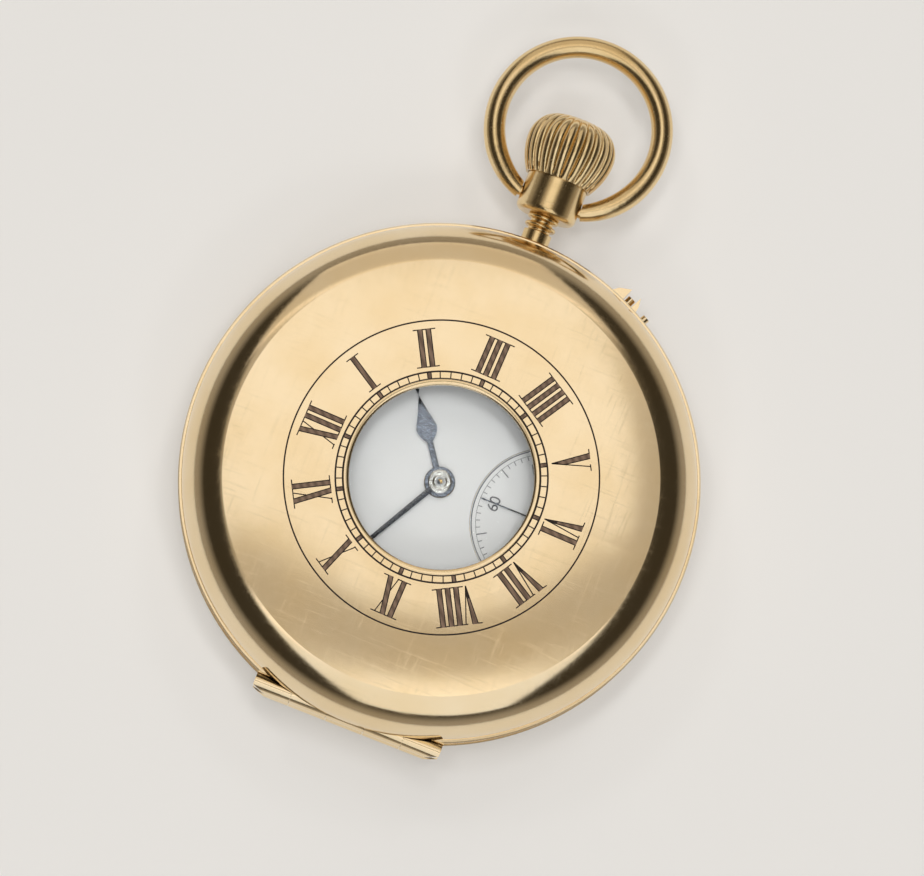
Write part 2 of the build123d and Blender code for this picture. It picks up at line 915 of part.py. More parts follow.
def lock_spring():
    strip = spring_strip(90, lock_half_angle)
    strip -= rod_y(pendant_hole_r, strip_inner - overrun, case_r, 0, stem_z)
    base_z = spring_channel_top - strip_margin - strip_thickness
    strip += box((-nose_half, strip_inner + strip_thickness / 2, base_z),
                 (nose_half, nose_inner + strip_thickness, base_z + strip_thickness))
    return strip + box((-nose_half, nose_inner, base_z), (nose_half, nose_outer, nose_top))


def lift_spring():
    return spring_strip(-90, lift_half_angle)


bow_line_r = bow_outer_r - bow_wire_r
bow_end_x = pendant_r + bow_gap
pivot_y = bow_centre_y - sqrt(bow_line_r ** 2 - bow_end_x ** 2)


def pendant():
    groove_r = neck_r - neck_groove
    ring_step = neck_rings_length / (2 * neck_rings)
    spigot_r = pendant_hole_r - spigot_fit
    stops = [(0, spigot_start), (spigot_r, spigot_start), (spigot_r, neck_start), (neck_r, neck_start),
             (neck_r, neck_collar_end)]
    for ring_index in range(neck_rings):
        start = neck_collar_end + ring_index * 2 * ring_step
        stops.append(((groove_r, start + ring_step / 2), (neck_r, start + ring_step)))
        stops.append(((neck_r + neck_groove / 2, start + ring_step * 3 / 2), (neck_r, start + 2 * ring_step)))
    stops += [
        (pendant_r - pendant_round, pendant_start),
        ((pendant_r - pendant_round * (1 - sin(pi / 4)), pendant_start + pendant_round * (1 - cos(pi / 4))),
         (pendant_r, pendant_start + pendant_round)),
        (pendant_r, pendant_end),
        (0, pendant_end),
    ]
    body = turned_y(stops, stem_z)
    body -= rod_y(pendant_bore_r, spigot_start - overrun, pendant_end + overrun, 0, stem_z)
    hole_start = bow_end_x - bow_pin_length - bow_gap
    for side in (-1, 1):
        ends = sorted((side * hole_start, side * (pendant_r + overrun)))
        body -= rod_x(bow_pin_r + bow_pin_fit, ends[0], ends[1], pivot_y, stem_z)
    return body


def bow():
    end_turn = degrees(asin(bow_end_x / bow_line_r))
    end_angle = -90 + end_turn

    def slice_at(angle, radius):
        x, y = stepped((0, bow_centre_y), bow_line_r, angle)
        centre = Vector(x, y, stem_z)
        along = Vector(*polar(1, angle + 90), 0)
        return Plane(origin=centre, x_dir=Vector(0, 0, 1), z_dir=along) * Circle(radius)

    top = slice_at(bow_taper_start, bow_wire_r)
    ring_axis = Axis((0, bow_centre_y, stem_z), (0, 0, 1))
    hoop = revolve(top, ring_axis, 180 - 2 * bow_taper_start)
    shares = [step / bow_taper_steps for step in range(bow_taper_steps + 1)]
    angles = [bow_taper_start + (end_angle - bow_taper_start) * share for share in shares]
    radii = [bow_wire_r + (bow_end_r - bow_wire_r) * share ** 2 for share in shares]
    horn = loft([slice_at(angle, radius) for angle, radius in zip(angles, radii)])
    horn -= box((-bow_end_x, 0, 0), (bow_end_x, bow_centre_y + bow_outer_r, thickness))
    pin = rod_x(bow_pin_r, bow_end_x - bow_pin_length, bow_end_x + bow_end_r / 2, pivot_y, stem_z)
    side = horn + pin
    return hoop + side + mirror(side, Plane.YZ)


def crown_radius(y):
    """Radius of the crown's ribs at a height along Y."""
    if y < crown_widest:
        share = (crown_widest - y) / (crown_widest - crown_start)
        return crown_r - (crown_r - crown_foot_r) * share ** 2
    share = (y - crown_widest) / (crown_top - crown_widest)
    return crown_crest_r + (crown_r - crown_crest_r) * sqrt(1 - share ** 2)


def crown():
    """Onion-shaped crown with ribs, hollow below so that it can be pressed down over the pendant."""
    sections = []
    for share in crown_level_shares:
        y = crown_start + (crown_top - crown_start) * share
        rib_r = crown_radius(y)
        groove_r = rib_r - crown_groove * rib_r / crown_r
        points = []
        for rib in range(crown_ribs):
            angle = rib * 360 / crown_ribs
            half_rib = crown_rib_share * 360 / crown_ribs
            points.append(polar(rib_r, angle - half_rib))
            points.append(polar(rib_r, angle + half_rib))
            points.append(polar(groove_r, angle + 180 / crown_ribs))
        level = Plane(origin=(0, y, stem_z), x_dir=(1, 0, 0), z_dir=(0, 1, 0))
        sections.append(level * Polygon(*points, align=None))
    body = loft(sections, ruled=True)
    skirt_end = crown_start + crown_skirt_depth
    body -= rod_y(crown_skirt_r, crown_start - overrun, skirt_end, 0, stem_z)
    return body - rod_y(stem_r + stem_fit, crown_start, crown_widest, 0, stem_z)


def winding_stem():
    """Stem of the crown: round in the pendant, square where it slides in the winding pinion."""
    square_start = winding_y + crown_travel + winding_bore_gap
    square_end = winding_y + winding_length + overrun
    square = box((-square_half, square_start, stem_z - square_half),
                 (square_half, square_end, stem_z + square_half))
    return square + rod_y(stem_r, square_end, crown_widest - stem_fit, 0, stem_z)


def winding_pinion():
    root_r = winding_pinion_r * winding_root_share
    corners = (
        (root_r, -winding_foot_width_share),
        (winding_pinion_r, -winding_top_width_share),
        (winding_pinion_r, winding_top_width_share),
        (root_r, winding_foot_width_share),
    )
    points = []
    for tooth in range(winding_teeth):
        angle = tooth * 360 / winding_teeth - 90
        for radius, share in corners:
            points.append(polar(radius, angle + share * 360 / winding_teeth))
    plane = Plane(origin=(0, winding_y, stem_z), x_dir=(1, 0, 0), z_dir=(0, -1, 0))
    body = extrude(plane * Polygon(*points, align=None), winding_length, dir=(0, 1, 0))
    hole = square_half + winding_bore_gap
    return body - box((-hole, winding_y - overrun, stem_z - hole),
                      (hole, winding_y + winding_length + overrun, stem_z + hole))


def set_pusher():
    tip_r = hypot(*push_contact) + bar_width / 2 + push_fit
    return radial_rod(push_r, tip_r, push_outer, push_angle)


push_contact = from_pendant(bar_arm_r, push_angle)
push_pivot = (push_lever_x, push_lever_y)
setting_at = (setting_x, setting_y)
bar_z = bar_floor + hole_fit + hole_fit


def setting_bar():
    top = bar_z + bar_thickness
    body = strap(push_contact, push_pivot, bar_width / 2, bar_width / 2, bar_z, top)
    body += strap(push_pivot, setting_at, bar_width / 2, bar_width / 2, bar_z, top)
    body += disc(stud_r, top - bar_thickness / 2, plate_top - hole_fit, setting_at)
    return body - disc(stud_r + pivot_fit, bar_z - overrun, top + overrun, push_pivot)


def setting_wheel():
    module = 2 * setting_wheel_r / setting_teeth
    low = work_floor + 2 * hole_fit
    hole = disc(stud_r + pivot_fit, low - overrun, low + overrun, setting_at)
    return wheel(setting_teeth, module, 0, low, setting_at) - hole


def arbor(at, low, high, radius=arbor_r):
    """Arbor with a thinner pivot at each end."""
    shoulder_low = train_floor + train_end_gap
    shoulder_high = plate_z - train_end_gap
    return disc(radius, shoulder_low, shoulder_high, at) + disc(pivot_r, low, high, at)


def spoked(teeth, module, phase, low, at):
    """Toothed wheel with its crossings cut out."""
    pitch_r = teeth * module / 2
    body = wheel(teeth, module, phase, low, at)
    rim_r = pitch_r - rim_share * module
    hub_r = pitch_r * hub_share
    spoke_width = pitch_r * spoke_share
    for window in crossings(rim_r, hub_r, spokes, spoke_width, low, low + wheel_thickness, phase, at):
        body -= window
    return body


pivot_low = top_plate_z + jewel_height
pivot_high = work_floor - jewel_height


def centre_wheel():
    low = barrel_z - train_end_gap
    body = spoked(centre_teeth, centre_module, centre_phase, centre_wheel_z, centre_at)
    body += pinion(centre_pinion_teeth, barrel_module, centre_pinion_phase, low + train_end_gap,
                   barrel_z + barrel_rim_height + pinion_margin, centre_at)
    body += arbor(centre_at, pivot_low, plate_z)
    return body + disc(pivot_r, plate_z - overrun, minute_hand_z - hand_thickness, centre_at)


def train_wheel(teeth, module, phase, wheel_z, leaves, leaf_module, leaf_phase, mate_z, at, high):
    body = spoked(teeth, module, phase, wheel_z, at)
    leaf_top = mate_z + wheel_thickness + pinion_margin
    body += pinion(leaves, leaf_module, leaf_phase, mate_z - pinion_margin, leaf_top, at)
    return body + arbor(at, pivot_low, high)


def third_wheel():
    return train_wheel(third_teeth, third_module, third_phase, third_wheel_z,
                       third_pinion_teeth, centre_module, third_pinion_phase, centre_wheel_z,
                       third_at, pivot_high)


def fourth_wheel():
    return train_wheel(fourth_teeth, fourth_module, fourth_phase, fourth_wheel_z,
                       fourth_pinion_teeth, third_module, fourth_pinion_phase, third_wheel_z,
                       fourth_at, seconds_hand_z)


def escape_wheel():
    """Fifteen raked club teeth on a thin rim."""
    root_r = escape_r * escape_root_share
    radii = (root_r, escape_r, escape_r - wheel_thickness / 2, root_r)
    points = []
    for tooth in range(escape_teeth):
        angle = tooth * 360 / escape_teeth
        for radius, share in zip(radii, escape_tooth_shares):
            points.append(stepped(escape_at, radius, angle + share * 360 / escape_teeth))
    body = plate(points, escape_wheel_z, escape_wheel_z + wheel_thickness)
    body += pinion(escape_pinion_teeth, fourth_module, escape_pinion_phase, fourth_wheel_z - pinion_margin,
                   fourth_wheel_z + wheel_thickness + pinion_margin, escape_at)
    return body + arbor(escape_at, pivot_low, pivot_high, arbor_r * escape_arbor_share)


barrel_body_r = barrel_teeth * barrel_module / 2 - barrel_root_share * barrel_module
barrel_hub_r = barrel_arbor_r * barrel_hub_share
barrel_square_half = barrel_arbor_r * barrel_square_share


def barrel():
    low, high = barrel_z, barrel_z + barrel_height
    body = wheel(barrel_teeth, barrel_module, barrel_phase, low, barrel_at, barrel_rim_height)
    body += disc(barrel_body_r, low, high, barrel_at)
    body -= disc(barrel_body_r - barrel_wall, low + barrel_wall, high + overrun, barrel_at)
    return body - disc(barrel_arbor_r + pivot_fit, low - overrun, high, barrel_at)


def barrel_cover():
    high = barrel_z + barrel_height
    outer = barrel_body_r - barrel_wall - hole_fit
    return ring(outer, barrel_arbor_r + pivot_fit, high - barrel_cover_height, high, barrel_at)


def barrel_arbor():
    """Arbor on which the spring winds, squared at the back for the ratchet wheel."""
    top = ratchet_z + ratchet_thickness
    hub = disc(barrel_arbor_r, top, plate_z + overrun / 2, barrel_at)
    swell = barrel_z + barrel_wall + train_end_gap
    swell_top = barrel_z + barrel_height - barrel_cover_height - train_end_gap
    hub += disc(barrel_hub_r, swell, swell_top, barrel_at)
    return hub + square_post(barrel_at, barrel_square_half, ratchet_z, top)


def spiral(inner, pitch, turns, blade, low, high, at):
    """Flat spiral blade from half circles whose radius grows by half a pitch at each half turn."""
    def face_edges(start_r):
        edges = []
        x = start_r
        side = 1
        for half in range(2 * turns):
            radius = start_r + half * pitch / 2 + pitch / 4
            centre = side * (x - radius)
            edges.append(((side * x, 0), (centre, side * radius), (centre - side * radius, 0)))
            x = abs(centre - side * radius)
            side = -side
        return edges

    outer = face_edges(inner + blade)
    inside = face_edges(inner)
    edges = [ThreePointArc(*stops) for stops in outer]
    edges.append(Line(outer[-1][2], inside[-1][2]))
    edges += [ThreePointArc(*stops) for stops in inside]
    edges.append(Line(inside[0][0], outer[0][0]))
    return extrude(Pos(at[0], at[1], low) * Face(Wire(edges)), high - low, dir=(0, 0, 1))


def mainspring():
    inner = barrel_hub_r + train_end_gap
    outer = barrel_body_r - barrel_wall - train_end_gap
    pitch = (outer - inner - mainspring_blade) / mainspring_turns
    low = barrel_z + barrel_wall + train_end_gap
    high = barrel_z + barrel_height - barrel_cover_height - train_end_gap
    return spiral(inner, pitch, mainspring_turns, mainspring_blade, low, high, barrel_at)


def hairspring():
    low = balance_z - strip_margin / 2
    high = low + spring_height
    coil = spiral(spring_inner_r, spring_pitch, spring_turns, spring_blade, low, high, balance_at)
    stud_x = spring_inner_r + spring_turns * spring_pitch
    stud = box((balance_at[0] + stud_x, balance_at[1] - staff_r, cock_z + cock_thickness),
               (balance_at[0] + stud_x + staff_r, balance_at[1] + staff_r / 2, high))
    return coil + stud


def lever():
    """Pallet arms and the lever with its fork, in one piece of steel."""
    top = lever_z + lever_thickness
    fork_at = stepped(lever_at, lever_length, lever_angle)
    body = strap(lever_at, fork_at, lever_width, fork_width / 2, lever_z, top)
    for side in (-1, 1):
        body += strap(lever_at, stone_place(side), lever_width, stone_width, lever_z, top)
    notch_at = stepped(lever_at, lever_length * fork_notch_share + fork_width / 2, lever_angle)
    body -= disc(impulse_pin_r * fork_notch_r_share, lever_z - overrun, top + overrun, notch_at)
    body += disc(pivot_r, pallet_cock_z, pivot_high, lever_at)
    for side in (-1, 1):
        body -= stone(side, hole_fit)
    return body


def stone_place(side):
    """Middle of a pallet stone, beside the line from the lever to the escape wheel."""
    swing = degrees(acos(pallet_r / pallet_distance))
    return stepped(lever_at, pallet_r, lever_angle + 180 + side * swing)


def stone(side, margin=0.0):
    """Pallet stone, which points at the escape wheel's centre."""
    at = stone_place(side)
    angle = direction(at, escape_at)
    height = lever_thickness * stone_height_share
    body = Box(stone_length + 2 * margin, stone_width + 2 * margin, height + 2 * margin)
    shift = stone_length / 2 - stone_width * stone_hold_share
    x, y = polar(-shift, angle)
    return Pos(at[0] + x, at[1] + y, lever_z + lever_thickness / 2) * Rot(0, 0, angle) * body


def pallet_stones():
    return group(stone(side) for side in (-1, 1))


def pallet_cock():
    top = pallet_cock_z + pallet_cock_thickness
    tip_r = screw_head_r * pallet_cock_tip_share
    body = strap(pallet_foot_at, lever_at, screw_head_r, tip_r, pallet_cock_z, top)
    body += disc(screw_head_r, pallet_cock_z, plate_z, pallet_foot_at)
    return body - disc(pivot_r + pivot_fit, pallet_cock_z - overrun, top + overrun, lever_at)


def balance_wheel():
    """Rim with one straight arm, and the screws round it."""
    top = balance_z + balance_height
    body = ring(balance_r, balance_r - balance_rim, balance_z, top, balance_at)
    arm = box((-balance_r + balance_rim / 2, -balance_arm_width / 2, top - balance_arm_height),
              (balance_r - balance_rim / 2, balance_arm_width / 2, top))
    body += Pos(balance_at[0], balance_at[1], 0) * arm
    for index in range(balance_screws):
        angle = (index + 1 / 2) * 360 / balance_screws
        x, y = stepped(balance_at, balance_r + balance_screw_out / 2 - balance_rim / 4, angle)
        screw = Cylinder(balance_screw_r, balance_screw_out + balance_rim / 2)
        body += Pos(x, y, (balance_z + top) / 2) * Rot(0, 0, angle) * Rot(0, 90, 0) * screw
    return body - disc(staff_r + hole_fit / 2, balance_z - overrun, top + overrun, balance_at)


def balance_staff():
    """Staff with its collet, roller and impulse pin."""
    top = balance_z + balance_height
    body = disc(staff_r, train_floor + train_end_gap, plate_z - train_end_gap, balance_at)
    body += disc(pivot_r / 2, cock_z + jewel_height, plate_z + jewel_height, balance_at)
    body += disc(collet_r, balance_z - strip_margin / 2, top - balance_arm_height - hole_fit, balance_at)
    body += disc(roller_r, roller_z, roller_z + roller_height, balance_at)
    pin_at = stepped(balance_at, impulse_at, lever_angle)
    return body + disc(impulse_pin_r, lever_z, roller_z + roller_height / 2, pin_at)


balance_bearing = direction((0, 0), balance_at)


def balance_cock():
    """Cock that carries the balance from its foot at the plate's edge."""
    high = cock_z + cock_thickness
    foot = Rot(0, 0, balance_bearing) * box(
        (cock_foot_r - cock_foot_depth / 2, -cock_foot_width / 2, cock_z),
        (cock_foot_r + cock_foot_depth / 2, cock_foot_width / 2, plate_z))
    foot_at = polar(cock_foot_r - cock_foot_depth / 2, balance_bearing)
    root_r = cock_foot_width / 2 - cock_foot_depth / 2
    body = strap(foot_at, balance_at, root_r, jewel_r * cock_tip_share, cock_z, high)
    body -= ring(overrun + plate_r, cock_foot_r + cock_foot_depth / 2, cock_z - overrun, plate_top)
    body += foot
    return body - disc(pivot_r / 2 + pivot_fit, cock_z - overrun, high + overrun, balance_at)


def regulator():
    low, high = regulator_z, regulator_z + regulator_thickness
    tip_at = stepped(balance_at, regulator_length, balance_bearing + 180)
    body = strap(balance_at, tip_at, jewel_r * regulator_ring_share, regulator_thickness, low, high)
    return body - disc(jewel_r + hole_fit, low - overrun, high + overrun, balance_at)


def top_plate_places():
    """Pillars under the three-quarter plate, clear of the barrel, the train and the stem."""
    return [polar(pillar_ring_r, angle) for angle in pillar_angles]


def plate_screws():
    low = top_plate_z - screw_head_height
    shank_end = plate_z - overrun
    return group(slotted_screw(at, low, shank_end) for at in top_plate_places())


def pillars():
    hole_end = plate_z - overrun + hole_fit
    posts = []
    for at in top_plate_places():
        hole = disc(screw_shank_r + hole_fit, train_floor - overrun, hole_end, at)
        posts.append(disc(pillar_r, train_floor, plate_z, at) - hole)
    return group(posts)


jewel_places = (third_at, fourth_at, escape_at)


def three_quarter_plate():
    low, high = top_plate_z, train_floor
    body = disc(top_plate_r, low, high)
    well_r = balance_r + balance_well
    body -= disc(well_r, low - overrun, high + overrun, balance_at)
    open_side = Rot(0, 0, balance_bearing) * box((hypot(*balance_at), -well_r, low - overrun),
                                                 (plate_r + overrun, well_r, high + overrun))
    body -= open_side
    body -= disc(barrel_arbor_r + pivot_fit, low - overrun, high + overrun, barrel_at)
    body -= disc(contrate_r + hole_fit * 2, low - overrun, high + overrun, crown_wheel_at)
    body -= disc(pivot_r + pivot_fit, low - overrun, high + overrun, centre_at)
    for at in jewel_places:
        body -= disc(jewel_r, low - overrun, low + jewel_height, at)
        body -= disc(pivot_r + pivot_fit, low, high + overrun, at)
    for at in top_plate_places():
        body -= disc(screw_shank_r + hole_fit, low - overrun, high + overrun, at)
    return body - disc(click_stud_r + pivot_fit, low - overrun, high + overrun, click_at)


def jewels():
    """Ruby bearings of the train in the top plate, and the cap jewel of the balance."""
    low = top_plate_z
    stones = [ring(jewel_r - hole_fit / 2, pivot_r + pivot_fit, low, low + jewel_height - hole_fit, at)
              for at in jewel_places]
    stones.append(disc(jewel_r - hole_fit, regulator_z, cock_z, balance_at))
    return group(stones)


def main_plate():
    low, high = plate_z, plate_top
    body = disc(plate_r, low, high)
    body -= disc(motion_r, work_floor, high + overrun, (0, motion_y))
    bar_room = bar_width / 2 + push_travel
    room = strap(push_contact, push_pivot, bar_room, bar_room, bar_floor, high + overrun)
    room += strap(push_pivot, setting_at, bar_room, bar_room + push_travel, bar_floor, high + overrun)
    body -= room
    body -= disc(setting_wheel_r + 2 * push_travel, work_floor, high + overrun, setting_at)
    stem_room = stem_r + winding_room
    body -= rod_y(stem_room, winding_y, plate_r + overrun, 0, stem_z)
    body -= box((-stem_room, winding_y + winding_length, low - overrun),
                (stem_room, plate_r + overrun, stem_z))
    pinion_room = winding_pinion_r + winding_room
    body -= box((-pinion_room, winding_y - winding_room, low - overrun),
                (pinion_room, winding_y + winding_length + winding_room, high + overrun))
    rod_room = push_r + winding_room
    channel_start, channel_end_r = bar_arm_r, plate_r + overrun
    slot = box((-rod_room, channel_start, low - overrun), (rod_room, channel_end_r, stem_z + rod_room))
    body -= Rot(0, 0, -push_angle) * slot
    body -= disc(barrel_arbor_r + pivot_fit, low - overrun, high + overrun, barrel_at)
    body -= disc(pivot_r + pivot_fit, low - overrun, high + overrun, centre_at)
    body -= disc(pivot_r + pivot_fit, low - overrun, high + overrun, fourth_at)
    for at in (third_at, escape_at, lever_at):
        body -= disc(pivot_r + pivot_fit, low - overrun, pivot_high + hole_fit, at)
    body -= disc(pivot_r / 2 + pivot_fit, low - overrun, low + 2 * jewel_height, balance_at)
    body += disc(stud_r, bar_floor - hole_fit, high - hole_fit, push_pivot)
    body += disc(minute_stud_r, work_floor - hole_fit, high - hole_fit, minute_at)
    for at in dial_foot_places():
        body -= disc(dial_foot_r + hole_fit, low - overrun, high + overrun, at)
    for at in case_screw_places():
        body -= disc(screw_shank_r + hole_fit, low - overrun, low + overrun, at)
    return body


def dial_foot_places():
    return [polar(dial_foot_ring, angle) for angle in dial_foot_angles]


def case_screw_places():
    return [polar(case_screw_r, angle) for angle in case_screw_angles]


def case_screws():
    """Dog screws whose wide heads clamp the movement against the middle's ledge."""
    low = ledge_z - ledge_height - screw_head_height - hole_fit
    return group(case_screw(at, low) for at in case_screw_places())


def case_screw(at, low):
    return slotted_screw(at, low, plate_z + overrun - hole_fit, case_screw_head_r)


def dial():
    low, high = dial_z, dial_z + dial_thickness
    body = disc(dial_r, low, high)
    body -= disc(centre_hole_r, low - overrun, high + overrun)
    body -= disc(seconds_dial_r + dial_gap, low - overrun, high + overrun, fourth_at)
    for at in dial_foot_places():
        body += disc(dial_foot_r, low - dial_foot_length, low, at)
    return body


def seconds_dial():
    body = disc(seconds_dial_r, dial_z, dial_z + dial_thickness - seconds_sink, fourth_at)
    return body - disc(seconds_hole_r, dial_z - overrun, dial_z + overrun, fourth_at)


def turned_hand(shape, angle, at=(0, 0)):
    return Pos(at[0], at[1], 0) * Rot(0, 0, angle) * shape


def minute_hand():
    low, high = minute_hand_z, minute_hand_z + hand_thickness
    blade = plate([(0, -minute_tail_width / 2), (minute_hand_length, -minute_tip_width / 2),
                   (minute_hand_length, minute_tip_width / 2), (0, minute_tail_width / 2)], low, high)
    boss = disc(minute_boss_r, low - hand_boss_height / 2, high)
    hole = disc(cannon_r + hole_fit, low - overrun, high + overrun)
    return turned_hand(blade + boss - hole, minute_hand_angle)


def hour_hand():
    """Arm with the small inner spade that shows in the window and the large outer spade."""
    low, high = hour_hand_z, hour_hand_z + hand_thickness
    arm = plate([(0, -hour_arm_width / 2), (outer_spade_at, -hour_arm_width / 3),
                 (outer_spade_at, hour_arm_width / 3), (0, hour_arm_width / 2)], low, high)
    shape = arm + disc(hour_boss_r, low - hand_boss_height / 2, high)
    for at in (inner_spade_at, outer_spade_at):
        shape += spade(at, low, high)
    hole = disc(hour_pipe_r + hole_fit, low - overrun, high + overrun)
    return turned_hand(shape - hole, hour_hand_angle)


def spade(at, low, high):
    """Leaf of a spade hand: a round heel that draws out to a point."""
    tip = at + spade_tip_share * spade_r
    waist = at + spade_waist_share * spade_r
    waist_half = spade_waist_width_share * spade_r
    lean = radians(spade_heel_angle)
    touch = (at + spade_r * cos(lean), spade_r * sin(lean))
    edges = [
        ThreePointArc(touch, (at - spade_r, 0), (touch[0], -touch[1])),
        ThreePointArc((touch[0], -touch[1]), (waist, -waist_half), (tip, 0)),
        ThreePointArc((tip, 0), (waist, waist_half), touch),
    ]
    return extrude(Pos(0, 0, low) * Face(Wire(edges)), high - low, dir=(0, 0, 1))


def seconds_hand():
    low, high = seconds_hand_z, seconds_hand_z + hand_thickness
    tail_half, tip_half = seconds_hand_width / 2, seconds_hand_width / 4
    blade = plate([(-seconds_tail, -tail_half), (seconds_hand_length, -tip_half),
                   (seconds_hand_length, tip_half), (-seconds_tail, tail_half)], low, high)
    shape = blade + disc(seconds_boss_r, low - hand_boss_height / 3, high + hand_thickness)
    return turned_hand(shape - disc(pivot_r, low - overrun, high), seconds_hand_angle, fourth_at)


def cannon_pinion():
    low = work_floor + hole_fit
    body = pinion(cannon_teeth, cannon_module, cannon_phase, low, low + cannon_height - hole_fit)
    body += disc(cannon_r, low, minute_hand_z + hand_thickness)
    return body - disc(cannon_bore_r, low - overrun, minute_hand_z + overrun)


def minute_wheel():
    low = work_floor + 2 * hole_fit
    step = low + minute_wheel_height
    top = plate_top - hole_fit
    body = wheel(minute_teeth, cannon_module, minute_phase, low, minute_at, minute_wheel_height)
    body += pinion(minute_pinion_teeth, hour_module, minute_pinion_phase, step, top, minute_at)
    return body - disc(minute_stud_r + pivot_fit, low - overrun, plate_top + overrun, minute_at)


def hour_wheel():
    low = work_floor + cannon_height + motion_gap
    body = wheel(hour_teeth, hour_module, hour_phase, low, centre_at, minute_wheel_height)
    body += disc(hour_pipe_r, low, hour_hand_z + hand_thickness)
    return body - disc(hour_pipe_bore_r, low - overrun, hour_hand_z + overrun)


def ratchet_wheel():
    low, high = ratchet_z, ratchet_z + ratchet_thickness
    body = wheel(ratchet_teeth, ratchet_module, ratchet_phase, low, barrel_at, ratchet_thickness)
    return body - square_post(barrel_at, barrel_square_half + hole_fit, low - overrun, high + overrun)


def crown_wheel():
    """Wheel with spur teeth for the ratchet and upright teeth for the winding pinion."""
    low, high = ratchet_z, ratchet_z + ratchet_thickness
    tooth_top = stem_z - winding_pinion_r + contrate_gap
    tooth_root = tooth_top - contrate_tooth
    body = wheel(crown_wheel_teeth, ratchet_module, crown_wheel_phase, low, crown_wheel_at, ratchet_thickness)
    body += ring(contrate_r, contrate_r - contrate_wall, high - slot_depth, tooth_top, crown_wheel_at)
    pitch = 360 / contrate_teeth
    reach = [contrate_r - contrate_wall - slot_depth, contrate_r + slot_depth]
    for tooth in range(contrate_teeth):
        start = 90 + tooth * pitch - pitch * (1 - contrate_share) / 2
        end = start + pitch * (1 - contrate_share)
        corners = [polar(reach[0], start), polar(reach[1], start), polar(reach[1], end), polar(reach[0], end)]
        gap = plate(corners, tooth_root, tooth_top + overrun)
        body -= Pos(crown_wheel_at[0], crown_wheel_at[1], 0) * gap
    return body


ratchet_tip_r = ratchet_teeth * ratchet_module / 2 + tooth_tip_share * ratchet_module
click_tip = stepped(barrel_at, ratchet_tip_r + click_gap, click_angle)
click_at = stepped(click_tip, click_length, click_angle + click_tail_angle)


def click():
    """Click that stops the ratchet, drawn just lifted out of the teeth."""
    low, high = click_z, click_z + ratchet_thickness
    tip_at = stepped(click_tip, click_width / 2, click_angle + click_tip_angle)
    body = strap(click_at, tip_at, click_width * click_eye_share, click_width / 2, low, high)
    return body + disc(click_stud_r, high - slot_depth, train_floor - hole_fit, click_at)


def click_spring():
    """Curved blade that presses the click home."""
    low, high = click_z, click_z + ratchet_thickness
    reach = click_width * click_eye_share + click_gap + spring_height
    start = stepped(click_at, reach, click_angle + click_spring_reach_angle)
    foot = stepped(start, click_spring_length, click_angle + click_spring_run_angle)
    return strap(foot, start, screw_head_r, spring_height, low, high)


def cock_screws():
    at = polar(cock_foot_r, balance_bearing)
    return group([
        disc(screw_head_r * cock_screw_share, cock_z - screw_head_height, cock_z, at),
        disc(screw_head_r * pallet_screw_share, pallet_cock_z - slot_depth, pallet_cock_z, pallet_foot_at),
    ])


def ratchet_screw():
    """Large flat screw that holds the ratchet wheel on its arbor."""
    return disc(screw_head_r * ratchet_screw_share, ratchet_z - screw_head_height, ratchet_z, barrel_at)


makers = {
    "case_middle": case_middle,
    "front_cover": front_cover,
    "cover_glass": cover_glass,
    "back_cover": back_cover,
    "cuvette": cuvette,
    "front_hinge_pin": lambda: hinge_pin(front_split),
    "back_hinge_pin": lambda: hinge_pin(back_split),
    "front_bezel": front_bezel,
    "dial_glass": dial_glass,
    "lock_spring": lock_spring,
    "lift_spring": lift_spring,
    "pendant": pendant,
    "bow": bow,
    "crown": crown,
    "winding_stem": winding_stem,
    "winding_pinion": winding_pinion,
    "set_pusher": set_pusher,
    "setting_bar": setting_bar,
    "setting_wheel": setting_wheel,
    "dial": dial,
    "seconds_dial": seconds_dial,
    "minute_hand": minute_hand,
    "hour_hand": hour_hand,
    "seconds_hand": seconds_hand,
    "cannon_pinion": cannon_pinion,
    "minute_wheel": minute_wheel,
    "hour_wheel": hour_wheel,
    "main_plate": main_plate,
    "pillars": pillars,
    "three_quarter_plate": three_quarter_plate,
    "plate_screws": plate_screws,
    "case_screws": case_screws,
    "cock_screws": cock_screws,
    "ratchet_screw": ratchet_screw,
    "jewels": jewels,
    "barrel": barrel,
    "barrel_cover": barrel_cover,
    "barrel_arbor": barrel_arbor,
    "mainspring": mainspring,
    "centre_wheel": centre_wheel,
    "third_wheel": third_wheel,
    "fourth_wheel": fourth_wheel,
    "escape_wheel": escape_wheel,
    "lever": lever,
    "pallet_stones": pallet_stones,
    "pallet_cock": pallet_cock,
    "balance_wheel": balance_wheel,
    "balance_staff": balance_staff,
    "hairspring": hairspring,
    "balance_cock": balance_cock,
    "regulator": regulator,
    "ratchet_wheel": ratchet_wheel,
    "crown_wheel": crown_wheel,
    "click": click,
    "click_spring": click_spring,
}

os.makedirs("parts", exist_ok=True)
for node, make in makers.items():
    export_step(make(), f"parts/{node}.step")
print(len(makers), "nodes written")
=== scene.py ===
# %% [markdown]
# A half hunter pocket watch, dressed in Blender
#
# The solids of the watch arrive from the CAD model as a frame that never moves: every piece made
# here is placed by that frame and rides on one of its bodies, so it opens, turns and slides with
# it. The watch lies on its back. Z points out of the dial, Y from the hinges to the pendant, and
# X from twelve o'clock to six. Blender works in metres, so sizes are a number times MM.

# %% Load the frame
import json
from math import atan2, cos, degrees, hypot, pi, radians, sin, sqrt, tan, tau

import bmesh
import bpy
from mathutils import Matrix, Vector


